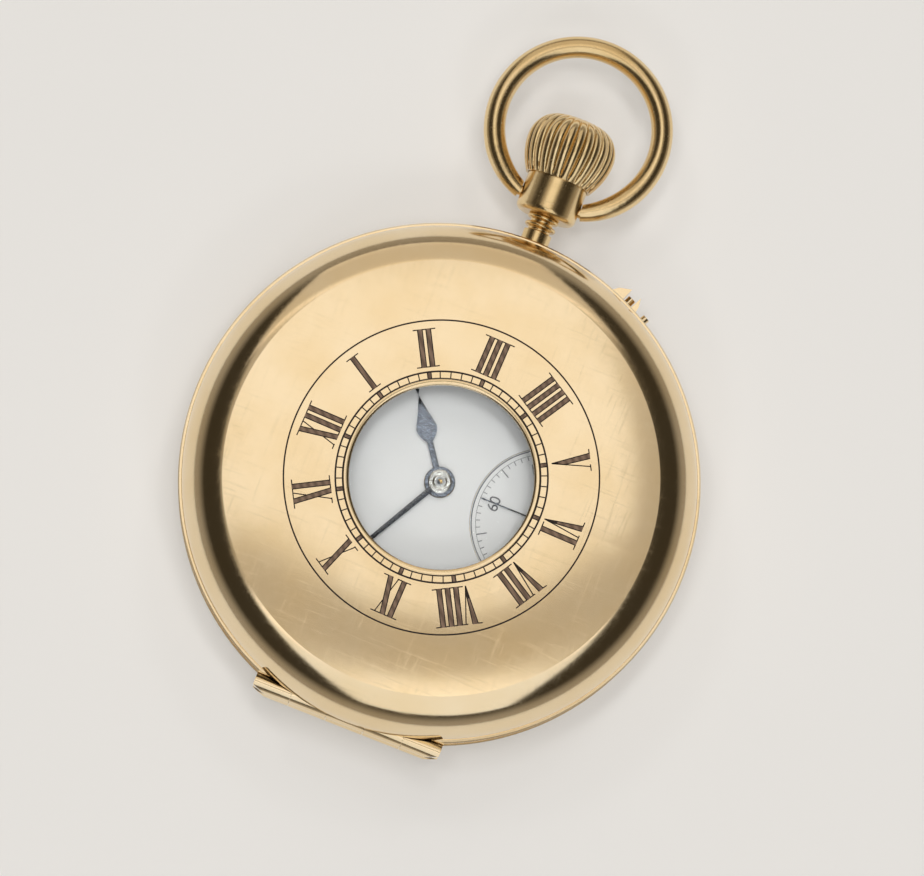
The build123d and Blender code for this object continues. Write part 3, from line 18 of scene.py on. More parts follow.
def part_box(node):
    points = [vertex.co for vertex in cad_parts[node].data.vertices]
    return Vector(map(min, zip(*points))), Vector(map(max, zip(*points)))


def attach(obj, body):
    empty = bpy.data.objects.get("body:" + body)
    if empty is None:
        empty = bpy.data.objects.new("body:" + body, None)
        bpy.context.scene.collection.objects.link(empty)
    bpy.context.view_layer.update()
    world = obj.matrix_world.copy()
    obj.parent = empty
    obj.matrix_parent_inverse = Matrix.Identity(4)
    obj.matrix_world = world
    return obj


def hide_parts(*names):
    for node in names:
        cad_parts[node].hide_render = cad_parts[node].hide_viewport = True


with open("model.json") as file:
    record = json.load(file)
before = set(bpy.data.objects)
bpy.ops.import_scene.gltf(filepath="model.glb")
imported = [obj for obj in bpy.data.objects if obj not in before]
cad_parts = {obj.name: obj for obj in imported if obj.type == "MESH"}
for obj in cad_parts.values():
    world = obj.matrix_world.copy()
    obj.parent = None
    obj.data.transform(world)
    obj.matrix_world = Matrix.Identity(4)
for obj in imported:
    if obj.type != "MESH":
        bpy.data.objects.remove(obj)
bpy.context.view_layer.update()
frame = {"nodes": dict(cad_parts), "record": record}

MM = 0.001
nodes = frame["nodes"]

# %% [markdown]
# Driving sizes
#
# A few sizes of the case and the dial steer the pieces below. Where the frame can tell a size, it
# is measured there, so that a change in the CAD model moves the dressing with it.

# %% Driving sizes
LOW, HIGH = 0, 1
X, Y, Z = 0, 1, 2


def corner(node, end, axis):
    """One coordinate of a node's box, at its low or its high end."""
    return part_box(node)[end][axis]


case_r = corner("front_cover", HIGH, X)
top_z = corner("front_cover", HIGH, Z)
stem_z = (corner("crown", LOW, Z) + corner("crown", HIGH, Z)) / 2
dial_r = corner("dial", HIGH, X)
dial_top = corner("dial", HIGH, Z)
seconds_top = corner("seconds_dial", HIGH, Z)
seconds_centre = (corner("seconds_dial", LOW, X) + corner("seconds_dial", HIGH, X)) / 2
seconds_edge = (corner("seconds_dial", HIGH, X) - corner("seconds_dial", LOW, X)) / 2
watch_axis = (0.0, 0.0)
seconds_at = (seconds_centre, 0.0)
print("case radius", round(case_r / MM, 2), "dial radius", round(dial_r / MM, 2), "mm")

# %% [markdown]
# Writing shader maths as plain sums
#
# A material is a graph of nodes, and a graph gets hard to read in code. The small class below
# wraps one output socket, so that a sum such as 1 - grain * 0.2 adds the Math nodes by itself.
# Colours are never added that way: a Math node would turn them grey, so a Mix node mixes them.

# %% Shader expressions
class Wire:
    """An output socket of a node, with arithmetic."""

    def __init__(self, tree, socket):
        self.tree = tree
        self.socket = socket

    def maths(self, operation, first, second):
        return add_node(self.tree, "ShaderNodeMath", {"operation": operation}, {0: first, 1: second})

    def __add__(self, other):
        return self.maths("ADD", self, other)

    def __radd__(self, other):
        return self.maths("ADD", other, self)

    def __sub__(self, other):
        return self.maths("SUBTRACT", self, other)

    def __rsub__(self, other):
        return self.maths("SUBTRACT", other, self)

    def __mul__(self, other):
        return self.maths("MULTIPLY", self, other)

    def __rmul__(self, other):
        return self.maths("MULTIPLY", other, self)

    def __pow__(self, other):
        return self.maths("POWER", self, other)

    def __rpow__(self, other):
        return self.maths("POWER", other, self)

    def __gt__(self, other):
        return self.maths("GREATER_THAN", self, other)

    def __lt__(self, other):
        return self.maths("LESS_THAN", self, other)

    def clamped(self):
        return self.maths("MINIMUM", self.maths("MAXIMUM", self, 0.0), 1.0)

    def above(self, start, gain):
        """How far the value is past start, times gain, kept between 0 and 1."""
        return ((self - start) * gain).clamped()

    def part(self, name):
        """Another output of the same node."""
        return Wire(self.tree, self.socket.node.outputs[name])


def add_node(tree, kind, settings, values):
    """Add a node: its settings come first, because they decide which sockets it has."""
    node = tree.nodes.new(kind)
    stops = settings.pop("stops", None)
    for name, value in settings.items():
        setattr(node, name, value)
    if stops:
        ramp = node.color_ramp.elements
        while len(ramp) < len(stops):
            ramp.new(0.5)
        for element, (place, colour) in zip(ramp, stops):
            element.position = place
            element.color = (*colour, 1.0)
    for name, value in values.items():
        if isinstance(value, Wire):
            tree.links.new(value.socket, node.inputs[name])
        else:
            node.inputs[name].default_value = value
    shown = [out for out in node.outputs if out.enabled]
    return Wire(tree, shown[0])


class Finish:
    """A material on one Principled shader, with the helpers that its graph needs."""

    def __init__(self, name, **uniform):
        self.material = bpy.data.materials.new(name)
        self.material.use_nodes = True
        self.tree = self.material.node_tree
        self.shader = self.tree.nodes["Principled BSDF"]
        for socket, value in uniform.items():
            self.shader.inputs[socket.replace("_", " ")].default_value = value

    def node(self, kind, settings=None, **values):
        named = {key.replace("_", " "): value for key, value in values.items()}
        return add_node(self.tree, kind, dict(settings or {}), named)

    def place(self):
        """The point on the piece, in metres from the watch's origin."""
        return self.node("ShaderNodeTexCoord").part("Object")

    def stretched(self, scale):
        return self.node("ShaderNodeMapping", Vector=self.place(), Scale=scale)

    def noise(self, size, detail):
        """Noise between 0 and 1 whose blotches are about size metres across."""
        return self.node("ShaderNodeTexNoise", Vector=self.place(), Scale=1 / size, Detail=detail)

    def mix(self, share, first, second):
        """First colour where share is 0, second where it is 1."""
        node = self.node("ShaderNodeMix", {"data_type": "RGBA"}, Factor=share)
        colours = [socket for socket in node.socket.node.inputs if socket.type == "RGBA"]
        for socket, value in zip(colours, (first, second)):
            if isinstance(value, Wire):
                self.tree.links.new(value.socket, socket)
            else:
                socket.default_value = (*value, 1.0)
        return node

    def feed(self, **wires):
        for name, wire in wires.items():
            self.tree.links.new(wire.socket, self.shader.inputs[name.replace("_", " ")])
        return self

    def bump(self, height, depth, strength):
        """Feed the normal from a height between 0 and 1 that stands for depth metres."""
        normal = self.node("ShaderNodeBump", Height=height, Distance=depth, Strength=strength)
        return self.feed(Normal=normal)

    def blend(self, share, first, second):
        """First shader where share is 0, second where it is 1."""
        return add_node(self.tree, "ShaderNodeMixShader", {}, {0: share, 1: first, 2: second})

    def principled(self):
        return Wire(self.tree, self.shader.outputs["BSDF"])

    def show(self, shaded):
        """Send a mix of shaders to the surface, in place of the Principled shader alone."""
        self.tree.links.new(shaded.socket, self.tree.nodes["Material Output"].inputs["Surface"])


print("shader helpers ready")

# %% [markdown]
# Polished gold
#
# The case is worn yellow gold. A mirror would look new and hard, so the polish is broken in three
# ways: slow blotches that warm the colour, a fine haze that softens the reflections, and hairline
# scratches from years in a pocket, made from noise that is stretched long in one direction.

# %% Gold
LINE_SPACING = 40
LINE_LENGTH = 900


def scratches(finish, along, width):
    """Hairlines: noise squeezed across one direction, so that its blotches turn into lines."""
    squeeze = [1 / (width * LINE_SPACING)] * 3
    squeeze[along] = 1 / (width * LINE_LENGTH)
    drawn = finish.stretched(squeeze)
    lines = finish.node("ShaderNodeTexNoise", Vector=drawn, Scale=9.0, Detail=2.0)
    return lines.above(0.58, gain=7.0)


def polished_gold(name, light, deep, smoothest):
    finish = Finish(name, Metallic=1.0)
    blotch = finish.noise(7 * MM, detail=4.0)
    haze = finish.noise(0.5 * MM, detail=6.0)
    lines = scratches(finish, X, width=0.06 * MM) + scratches(finish, Y, width=0.05 * MM)
    finish.feed(
        Base_Color=finish.mix(blotch.above(0.35, gain=2.4), light, deep),
        Roughness=smoothest + blotch * 0.07 + haze * 0.05 + lines * 0.05,
    )
    finish.bump(haze * 0.4 + lines * 0.3 + blotch * 2.0, depth=0.0012 * MM, strength=0.8)
    return finish.material


# The case's two golds are paler than the pendant's. This is a painted highlight: the cream wash of brightly
# lit reflections is laid into the colour itself. The pendant, bow and crown keep the deeper gold, and the
# cuvette and bezel share the paler case colours.
case_highlit_light, case_highlit_deep = (0.90, 0.74, 0.50), (0.86, 0.67, 0.40)
pendant_light, pendant_deep = (0.89, 0.70, 0.41), (0.80, 0.58, 0.28)
case_gold = polished_gold("case_gold", case_highlit_light, case_highlit_deep, smoothest=0.07)
inner_gold = polished_gold("inner_gold", case_highlit_light, case_highlit_deep, smoothest=0.16)
pendant_gold = polished_gold("pendant_gold", pendant_light, pendant_deep, smoothest=0.15)
print(case_gold.name, inner_gold.name, pendant_gold.name)

# %% [markdown]
# White enamel
#
# The dial is white enamel fired on copper: slightly wavy and very glossy, with rare dark specks.
# Noise gives each: wide for the waves, tiny and cut off near its top for the specks.

# %% White enamel
def white_enamel():
    finish = Finish("white_enamel", Coat_Weight=0.6, Coat_Roughness=0.04)
    cloud = finish.noise(9 * MM, detail=3.0)
    speck = finish.noise(0.22 * MM, detail=1.0) > 0.80
    pale = finish.mix(cloud, (0.875, 0.87, 0.865), (0.83, 0.825, 0.82))
    speckled = finish.mix(speck * 0.55, pale, (0.30, 0.27, 0.22))
    finish.feed(Base_Color=speckled, Roughness=0.16 + cloud * 0.1)
    finish.bump(finish.noise(3 * MM, detail=2.0), depth=0.004 * MM, strength=0.5)
    return finish.material


dial_enamel = white_enamel()
print(dial_enamel.name)

# %% [markdown]
# Black enamel and print
#
# The print of the dial and the filled numerals of the cover are black enamel, a little uneven in
# depth. The wide strokes of the cover lie over cuts, which a wave texture draws as slanting lines.

# %% Black enamel
def black_enamel(name, full, thin, worn):
    """Enamel that is thinner in places; worn is how quickly it goes from full to thin."""
    finish = Finish(name, Specular_IOR_Level=0.3)
    depth = finish.noise(0.45 * MM, detail=5.0)
    colour = finish.mix(depth.above(0.45, gain=worn), full, thin)
    finish.feed(Base_Color=colour, Roughness=0.28 + depth * 0.2)
    finish.bump(depth, depth=0.004 * MM, strength=0.6)
    return finish.material


def hatched_fill(name, line, between):
    """Enamel laid over fine slanting cuts, which shows as brown between dark lines."""
    finish = Finish(name, Specular_IOR_Level=0.3)
    slant = finish.node("ShaderNodeTexWave", {"bands_direction": "DIAGONAL"}, Vector=finish.place(),
                        Scale=1 / (1.5 * MM), Distortion=0.4)
    depth = finish.noise(0.6 * MM, detail=4.0)
    share = (slant * 0.55 + depth * 0.25 + 0.2).clamped()
    finish.feed(Base_Color=finish.mix(share, line, between), Roughness=0.3 + depth * 0.2)
    finish.bump(slant, depth=0.006 * MM, strength=0.6)
    return finish.material


dial_print = black_enamel("dial_print", full=(0.030, 0.030, 0.034), thin=(0.11, 0.11, 0.12), worn=3.0)
seconds_ink = black_enamel("seconds_ink", full=(0.10, 0.10, 0.11), thin=(0.22, 0.22, 0.23), worn=3.0)
cover_enamel = black_enamel("cover_enamel", full=(0.012, 0.007, 0.005), thin=(0.035, 0.020, 0.014),
                            worn=2.2)
hatched_enamel = hatched_fill("hatched_enamel", line=(0.060, 0.035, 0.023), between=(0.24, 0.16, 0.11))
print(dial_print.name, seconds_ink.name, cover_enamel.name, hatched_enamel.name)

# %% [markdown]
# Steel
#
# The hands are steel heated until it turns blue, which under a pale light looks grey-blue. Other
# steel is bright where it was polished, and greyer where it was only worked flat.

# %% Steel
def steel(name, light, deep, smoothest, grain):
    """Steel with a straight grain from the stone; the grain is noise drawn out along X."""
    finish = Finish(name, Metallic=1.0)
    drawn = finish.stretched((1 / (grain * 25), 1 / grain, 1 / grain))
    lines = finish.node("ShaderNodeTexNoise", Vector=drawn, Scale=1.0, Detail=4.0)
    cloud = finish.noise(1.5 * MM, detail=3.0)
    finish.feed(Base_Color=finish.mix(cloud, light, deep), Roughness=smoothest + lines * 0.14)
    finish.bump(lines, depth=0.002 * MM, strength=0.6)
    return finish.material


fine_grain, worked_grain = 0.05 * MM, 0.08 * MM
blued_steel = steel("blued_steel", (0.33, 0.36, 0.42), (0.25, 0.28, 0.35), 0.20, fine_grain)
cap_steel = steel("cap_steel", (0.90, 0.90, 0.88), (0.82, 0.82, 0.80), 0.14, fine_grain)
bright_steel = steel("bright_steel", (0.62, 0.62, 0.61), (0.52, 0.53, 0.54), 0.12, fine_grain)
worked_steel = steel("worked_steel", (0.56, 0.57, 0.58), (0.44, 0.45, 0.47), 0.26, worked_grain)
print(blued_steel.name, cap_steel.name, bright_steel.name, worked_steel.name)

# %% [markdown]
# Gilt brass and ruby
#
# Plates and wheels are brass that was frosted and then gilded, so they have a fine grain and a
# warm, soft shine. The jewels are ruby: a deep red that lets a little light through.

# %% Gilt and ruby
def gilt_brass(name, grain, smoothest):
    finish = Finish(name, Metallic=1.0)
    frost = finish.noise(grain, detail=4.0)
    cloud = finish.noise(4 * MM, detail=3.0)
    finish.feed(
        Base_Color=finish.mix(cloud, (0.84, 0.63, 0.33), (0.74, 0.52, 0.24)),
        Roughness=smoothest + frost * 0.12,
    )
    finish.bump(frost, depth=0.004 * MM, strength=0.7)
    return finish.material


def ruby():
    finish = Finish("ruby", Transmission_Weight=0.5, IOR=1.76)
    cloud = finish.noise(0.6 * MM, detail=3.0)
    red = finish.mix(cloud, (0.62, 0.03, 0.11), (0.42, 0.01, 0.06))
    finish.feed(Base_Color=red, Roughness=0.06 + cloud * 0.08)
    return finish.material


plate_gilt = gilt_brass("plate_gilt", grain=0.12 * MM, smoothest=0.26)
wheel_gilt = gilt_brass("wheel_gilt", grain=0.05 * MM, smoothest=0.18)
jewel_ruby = ruby()
print(plate_gilt.name, wheel_gilt.name, jewel_ruby.name)

# %% [markdown]
# Crystal
#
# The crystals are thin glass: most light goes straight through, and a small share is mirrored,
# which grows as the eye comes down to the glass. A clear shader is mixed with a glass one by that
# share, and the dial stays as bright as it is in life. A Fresnel node would give the share too,
# but on the far face of the glass it reckons with bent rays. The clear shader doesn't bend them,
# so from a low eye that node would mirror everything and turn the glass opaque.

# %% Crystal
MIRRORED_HEAD_ON = 0.034


def crystal():
    finish = Finish("crystal", Base_Color=(0.93, 0.96, 0.96, 1.0), Transmission_Weight=1.0, IOR=1.5)
    dust = finish.noise(0.35 * MM, detail=5.0)
    finish.feed(Roughness=0.02 + dust.above(0.55, gain=0.6))
    facing = finish.node("ShaderNodeLayerWeight", Blend=0.5).part("Facing")
    mirrored = MIRRORED_HEAD_ON + (1 - MIRRORED_HEAD_ON) * facing ** 5.0
    clear = finish.node("ShaderNodeBsdfTransparent", Color=(0.995, 0.998, 0.998, 1.0))
    finish.show(finish.blend(mirrored, clear, finish.principled()))
    return finish.material


watch_crystal = crystal()
print(watch_crystal.name)

# %% [markdown]
# Finishes for the CAD nodes
#
# The record says which material slot each node has. A node that keeps its CAD shape takes the
# finish of its slot here, except where one slot covers pieces that differ: the train wheels are
# smoother than the plates, and the polished steel of the winding wheels differs from the springs.

# %% Dress the nodes
slot_of = {part["node"]: part["material_slot"] for part in frame["record"]["subparts"]}
finish_of_slot = {
    "gold": case_gold,
    "crystal": watch_crystal,
    "enamel": dial_enamel,
    "blued_steel": blued_steel,
    "steel": worked_steel,
    "gilt_brass": plate_gilt,
    "ruby": jewel_ruby,
}
finish_of_node = {
    "cuvette": inner_gold,
    "front_bezel": inner_gold,
    "pendant": pendant_gold,
    "bow": pendant_gold,
    "ratchet_wheel": bright_steel,
    "crown_wheel": bright_steel,
    "ratchet_screw": blued_steel,
    "plate_screws": blued_steel,
    "case_screws": blued_steel,
    "cock_screws": blued_steel,
    "hairspring": blued_steel,
    "regulator": bright_steel,
}
for name in nodes:
    if name.endswith("_wheel") and slot_of[name] == "gilt_brass":
        finish_of_node[name] = wheel_gilt

for name, node in nodes.items():
    node.data.materials.clear()
    node.data.materials.append(finish_of_node.get(name, finish_of_slot[slot_of[name]]))
print("dressed", len(nodes), "nodes")

# %% [markdown]
# Mesh helpers
#
# A few shapes come back all over a watch: a piece turned on a lathe, a thin stroke of enamel, a
# printed ring. Each is a few lines of bmesh, so each gets a helper. The first one turns a bmesh
# into a piece. It smooths the faces and marks the sharp edges, which keeps corners crisp and
# curves soft.

# %% Mesh helpers
SHARP_ANGLE = radians(32)


def make_piece(name, mesh_builder, material, body):
    """Turn a bmesh into a piece that rides on a body of the watch."""
    mesh_builder.normal_update()
    for edge in mesh_builder.edges:
        edge.smooth = edge.calc_face_angle(0.0) < SHARP_ANGLE
    for face in mesh_builder.faces:
        face.smooth = True
    mesh = bpy.data.meshes.new(name)
    mesh_builder.to_mesh(mesh)
    mesh_builder.free()
    piece = bpy.data.objects.new(name, mesh)
    bpy.context.scene.collection.objects.link(piece)
    mesh.materials.append(material)
    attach(piece, body)
    return piece


def faces_in(*pieces):
    return sum(len(piece.data.polygons) for piece in pieces)


def add_rings(mesh_builder, rings):
    """Join neighbouring rings of points into a skin; a ring of one point closes a pole."""
    made = [[mesh_builder.verts.new(point) for point in ring] for ring in rings]
    for lower, upper in zip(made, made[1:]):
        count = max(len(lower), len(upper))
        for step in range(count):
            following = (step + 1) % count
            corners = [lower[step % len(lower)], lower[following % len(lower)],
                       upper[following % len(upper)], upper[step % len(upper)]]
            face = list(dict.fromkeys(corners))
            mesh_builder.faces.new(face)
    return made


def add_prism(mesh_builder, points, low, high):
    """Closed flat piece: its outline in the XY plane, and its height at each corner."""
    bottom = [mesh_builder.verts.new((x, y, low(x, y))) for x, y in points]
    top = [mesh_builder.verts.new((x, y, high(x, y))) for x, y in points]
    mesh_builder.faces.new(bottom[::-1])
    mesh_builder.faces.new(top)
    for step in range(len(points)):
        following = (step + 1) % len(points)
        mesh_builder.faces.new((bottom[step], bottom[following], top[following], top[step]))


print("mesh helpers ready")

# %% Round helpers
ROUND_STEPS = 240
WELD = 1e-7


def around(centre, radius, steps):
    """Points on a circle, from the direction of X and anticlockwise."""
    return [(centre[0] + radius * cos(step * tau / steps), centre[1] + radius * sin(step * tau / steps))
            for step in range(steps)]


def add_band(mesh_builder, inner, outer, low, high, centre=watch_axis):
    """Closed flat ring, such as a printed circle."""
    rings = []
    for radius, height in ((inner, low), (inner, high), (outer, high), (outer, low), (inner, low)):
        rings.append([(x, y, height(x, y)) for x, y in around(centre, radius, ROUND_STEPS)])
    made = add_rings(mesh_builder, rings)
    bmesh.ops.remove_doubles(mesh_builder, verts=made[0] + made[-1], dist=WELD)


def add_turned(mesh_builder, profile, zero_height, centre=watch_axis, steps=96):
    """Piece turned on a lathe about an upright line, from radii and heights in millimetres.

    Heights count from zero_height, and a radius of zero closes a pole."""
    rings = []
    for radius, rise in profile:
        height = zero_height + rise * MM
        if radius == 0.0:
            rings.append([(*centre, height)])
        else:
            rings.append([(x, y, height) for x, y in around(centre, radius * MM, steps)])
    add_rings(mesh_builder, rings)


print("round pieces have", ROUND_STEPS, "steps")

# %% [markdown]
# Roman numerals
#
# A numeral is drawn flat first, in heights of the numeral, with its feet on the baseline. Heavy
# strokes and hairlines are both kept as stations: the left and right edge at a row of levels.
# That way a stroke can be laid on a curved lid, because each station gets its own height. The
# numbers are the engraver's proportions: narrow letters, bars close together, long thin serifs.

# %% Roman numerals
ROMAN = ("XII", "I", "II", "III", "IIII", "V", "VI", "VII", "VIII", "IX", "X", "XI")
STEM = 0.15
HAIR = 0.030
SERIF = 0.11
EDGE = 0.027
HEAD = 1.0 - HAIR
STEPS = {"II": 0.215, "XI": 0.29, "IX": 0.29, "VI": 0.25}
X_LEAN, X_HAIR_LEAN = 0.09, 0.13
V_INNER = 0.45
V_OPEN, V_BEFORE_I = (0.08, 0.19), (0.14, 0.10)
LEVELS = 7


def bar(foot, head, width, low=0.0, high=1.0):
    """Stations of a stroke that runs from foot to head: left edge, right edge, level."""
    stations = []
    for step in range(LEVELS):
        share = step / (LEVELS - 1)
        middle = foot + (head - foot) * share
        stations.append((middle - width / 2, middle + width / 2, low + (high - low) * share))
    return stations


def serif(start, end, level):
    return [(start, end, level), (start, end, level + HAIR)]


def heavy_v(x, thick_head, thin_head):
    """Heavy stroke of a V: it grows out of the hairline, and only then shows its inner edge."""
    stations = []
    for step in range(LEVELS):
        level = step / (LEVELS - 1)
        left = x - HAIR / 2 + (thick_head - STEM / 2 - x) * level
        inner = thick_head + STEM / 2 + (thin_head - thick_head) * (1 - level) * V_INNER
        hairline = x + HAIR / 2 + (thin_head - x) * level
        stations.append((left, max(left + HAIR, min(hairline, inner)), level))
    return stations


def numeral_strokes(numeral):
    """Heavy strokes and hairlines of a numeral, as stations centred on zero."""
    heavy, fine = [], []
    x = 0.0
    run = None
    for mark, following in zip(numeral, numeral[1:] + " "):
        if mark == "I":
            run = x if run is None else run
            heavy.append(bar(x, x, STEM))
            if following != "I":
                fine += [serif(run - STEM / 2 - SERIF, x + STEM / 2 + SERIF, level)
                         for level in (0.0, HEAD)]
        elif mark == "X":
            heavy.append(bar(x + X_LEAN, x - X_LEAN, STEM))
            fine.append(bar(x - X_HAIR_LEAN, x + X_HAIR_LEAN, HAIR))
            fine += [serif(x - X_LEAN - STEM / 2 - SERIF, x + X_HAIR_LEAN + SERIF, HEAD),
                     serif(x + X_LEAN - STEM / 2, x + X_LEAN + STEM / 2 + SERIF, 0.0),
                     serif(x - X_HAIR_LEAN - SERIF, x - X_HAIR_LEAN + HAIR, 0.0)]
        else:
            to_left, to_right = V_BEFORE_I if following == "I" else V_OPEN
            head, thin = x - to_left, x + to_right
            heavy.append(heavy_v(x, head, thin))
            fine.append(bar(x, thin, HAIR))
            fine += [serif(head - STEM / 2 - SERIF, head + STEM / 2, HEAD),
                     serif(thin - HAIR * 2, thin + SERIF, HEAD)]
        x += STEPS.get(mark + following, 0.0)
    every = [station for stroke in heavy + fine for station in stroke]
    middle = (min(left for left, _, _ in every) + max(right for _, right, _ in every)) / 2

    def centred(strokes):
        return [[(left - middle, right - middle, level) for left, right, level in stroke]
                for stroke in strokes]

    return centred(heavy), centred(fine)


print("strokes in VIII:", sum(len(strokes) for strokes in numeral_strokes("VIII")))

# %% [markdown]
# Laying strokes on a round face
#
# The hours of the cover and the dial stand with their feet to the centre, so a flat drawing is
# turned to its hour and moved outwards. Its low and high sides come from two height functions,
# one for the foot of the inlay and one for its top, which may follow a dome.

# %% Laying strokes
def narrowed(stroke):
    """The inside of a heavy stroke, between its two dark edges."""
    inside = [(left + EDGE, right - EDGE, level) for left, right, level in stroke]
    return [station for station in inside if station[1] - station[0] > EDGE]


def lay_radially(points, angle, foot, centre=watch_axis):
    """Lay a flat drawing with its feet to a centre, foot metres out along an angle."""
    outward = Vector((cos(angle), sin(angle)))
    right = Vector((sin(angle), -cos(angle)))
    return [tuple(Vector(centre) + outward * (foot + y) + right * x) for x, y in points]


def add_strip(mesh_builder, stroke, angle, foot, size, low, high):
    """Closed inlay along the stations of a stroke."""
    rings = []
    for left, right, level in stroke:
        flat = [(left * size, level * size), (right * size, level * size)]
        near, far = lay_radially(flat, angle, foot)
        rings.append([(*near, low(*near)), (*near, high(*near)), (*far, high(*far)), (*far, low(*far))])
    made = add_rings(mesh_builder, rings)
    mesh_builder.faces.new(made[0][::-1])
    mesh_builder.faces.new(made[-1])


def add_numerals(mesh_builder, foot, size, low, high, twelve=pi, skipped=(), inside_only=False):
    """The hours run clockwise, and twelve o'clock lies along -X unless twelve says otherwise."""
    for hour, numeral in enumerate(ROMAN):
        if hour in skipped:
            continue
        heavy, fine = numeral_strokes(numeral)
        strokes = [narrowed(stroke) for stroke in heavy] if inside_only else heavy + fine
        for stroke in strokes:
            add_strip(mesh_builder, stroke, twelve - hour * tau / 12, foot, size, low, high)


def add_ticks(mesh_builder, inner, outer, width, marks, low, high, centre=watch_axis, twelve=pi):
    """Radial lines at the given sixtieths of a turn."""
    half, length = width / 2, outer - inner
    line = [(-half, 0.0), (half, 0.0), (half, length), (-half, length)]
    for mark in marks:
        angle = twelve - mark * tau / 60
        add_prism(mesh_builder, lay_radially(line, angle, inner, centre), low, high)


minutes_between = [mark for mark in range(60) if mark % 5]
five_minutes = range(0, 60, 5)
print(len(minutes_between), "minutes between", len(five_minutes), "marks")

# %% [markdown]
# The chapter ring on the cover
#
# On a half hunter the hours are read on the lid: numerals, two circles with sixty cells for the
# minutes, and a thin outer circle are cut into the gold and filled with enamel. They could be
# painted by a mask in the gold's material, but then they would end in soft edges and vanish from
# the exported mesh. So each stroke is a thin piece of enamel that stands 0.01 mm out of the gold,
# and follows the crown of the lid. The heavy strokes were cut as two outlines with fine hatching
# between them, so their insides are browner than their edges: a second piece holds those insides.
# The lid was not engraved quite square to the pendant, so the whole ring is turned a little.

# %% The lid's surface
flat_r = 12.0 * MM
lid_dome_r = 92.7 * MM
proud = 0.012 * MM
sunk = 0.05 * MM


def lid_height(x, y):
    """Height of the lid's outer face: flat in the middle, then a very wide dome."""
    past = max(0.0, hypot(x, y) - flat_r)
    return top_z - lid_dome_r + sqrt(lid_dome_r ** 2 - past ** 2)


def raised(amount):
    return lambda x, y: lid_height(x, y) + amount


inlay_foot, inlay_top, hatch_top = raised(-sunk), raised(proud * 0.8), raised(proud)
print("lid top at", round(top_z / MM, 2), "mm")

# %% Chapter ring
cover_twelve = pi - radians(1.8)
numeral_foot, numeral_height = 10.52 * MM, 3.72 * MM
track_inner, track_outer = 9.47 * MM, 10.0 * MM
circle_r = 15.0 * MM
mark_half = 0.165 * MM
minute_line, mark_line = 0.11 * MM, 0.13 * MM
circles = (
    (track_outer, track_outer + 0.17 * MM),
    (track_inner - 0.11 * MM, track_inner),
    (circle_r - 0.08 * MM, circle_r + 0.07 * MM),
)
enamelled = {"low": inlay_foot, "high": inlay_top, "twelve": cover_twelve}
hatched = {"low": inlay_foot, "high": hatch_top, "twelve": cover_twelve}

chapter = bmesh.new()
add_numerals(chapter, numeral_foot, numeral_height, **enamelled)
numerals_piece = make_piece("cover_numerals", chapter, cover_enamel, "front_lid")

hatching = bmesh.new()
add_numerals(hatching, numeral_foot, numeral_height, inside_only=True, **hatched)
add_ticks(hatching, track_inner, track_outer, mark_half * 1.5, five_minutes, **hatched)
hatching_piece = make_piece("cover_hatching", hatching, hatched_enamel, "front_lid")

track = bmesh.new()
for inner, outer in circles:
    add_band(track, inner, outer, inlay_foot, inlay_top)
add_ticks(track, track_inner, track_outer, minute_line, minutes_between, **enamelled)
mark_turn = mark_half / track_outer * 60 / tau
for turn in (-mark_turn, mark_turn):
    edges = [mark + turn for mark in five_minutes]
    add_ticks(track, track_inner, track_outer, mark_line, edges, **enamelled)
track_piece = make_piece("cover_minute_track", track, cover_enamel, "front_lid")
print("chapter ring:", faces_in(numerals_piece, hatching_piece, track_piece), "faces")

# %% [markdown]
# Rim of the window
#
# The window of the lid ends in a narrow polished rim that holds the small glass. It is turned on
# a lathe with a nearly flat face and a rounded inner lip, so here a profile is turned round Z. A
# flat face keeps the rim as pale as the lid all the way round, where a steep bevel would go dark.

# %% Window rim
rim_profile = (
    (9.33, -0.30), (9.33, -0.012), (9.30, 0.002), (9.22, 0.004), (8.98, -0.022), (8.88, -0.05),
    (8.82, -0.10), (8.81, -0.18), (8.81, -0.42), (8.90, -0.42), (9.33, -0.30),
)
rim = bmesh.new()
add_turned(rim, rim_profile, top_z, steps=ROUND_STEPS)
bmesh.ops.remove_doubles(rim, verts=rim.verts, dist=WELD)
bmesh.ops.recalc_face_normals(rim, faces=rim.faces)
rim_piece = make_piece("window_rim", rim, case_gold, "front_lid")
print("window rim:", faces_in(rim_piece), "faces")

# %% [markdown]
# Print on the dial
#
# Under the lid the dial carries the same hours again, so that the watch can be read with the lid
# open. Six o'clock makes room for the seconds dial, which has its own sixty marks and tens.

# %% Dial print
PRINT_DEPTH = 0.015 * MM


def flat_at(height):
    return lambda x, y: height


def printed_on(surface):
    """A print reaches as far into the enamel as it stands out of it."""
    return {"low": flat_at(surface - PRINT_DEPTH), "high": flat_at(surface + PRINT_DEPTH)}


def add_line(mesh_builder, radius, half, **place):
    add_band(mesh_builder, radius - half, radius + half, **place)


on_dial = printed_on(dial_top)
dial_numeral_foot, dial_numeral_height = 13.6 * MM, 4.2 * MM
dial_track = (18.9 * MM, 19.5 * MM)
mark_overshoot = 0.25 * MM

hours_print = bmesh.new()
add_numerals(hours_print, dial_numeral_foot, dial_numeral_height, skipped=(6,), **on_dial)
hours_piece = make_piece("dial_numerals", hours_print, dial_print, "case")

minutes_print = bmesh.new()
for radius in dial_track:
    add_line(minutes_print, radius, 0.04 * MM, **on_dial)
add_ticks(minutes_print, *dial_track, 0.09 * MM, minutes_between, **on_dial)
add_ticks(minutes_print, dial_track[0] - mark_overshoot, dial_track[1], 0.3 * MM, five_minutes, **on_dial)
minutes_piece = make_piece("dial_minute_track", minutes_print, dial_print, "case")
print("dial print:", faces_in(hours_piece, minutes_piece), "faces")

# %% Seconds track
on_seconds = {**printed_on(seconds_top), "centre": seconds_at}
seconds_line = seconds_edge - 0.12 * MM
seconds_inner = seconds_line - 0.42 * MM
second_tick, ten_tick = 0.42 * MM, 1.0 * MM
inner_half = 0.02 * MM

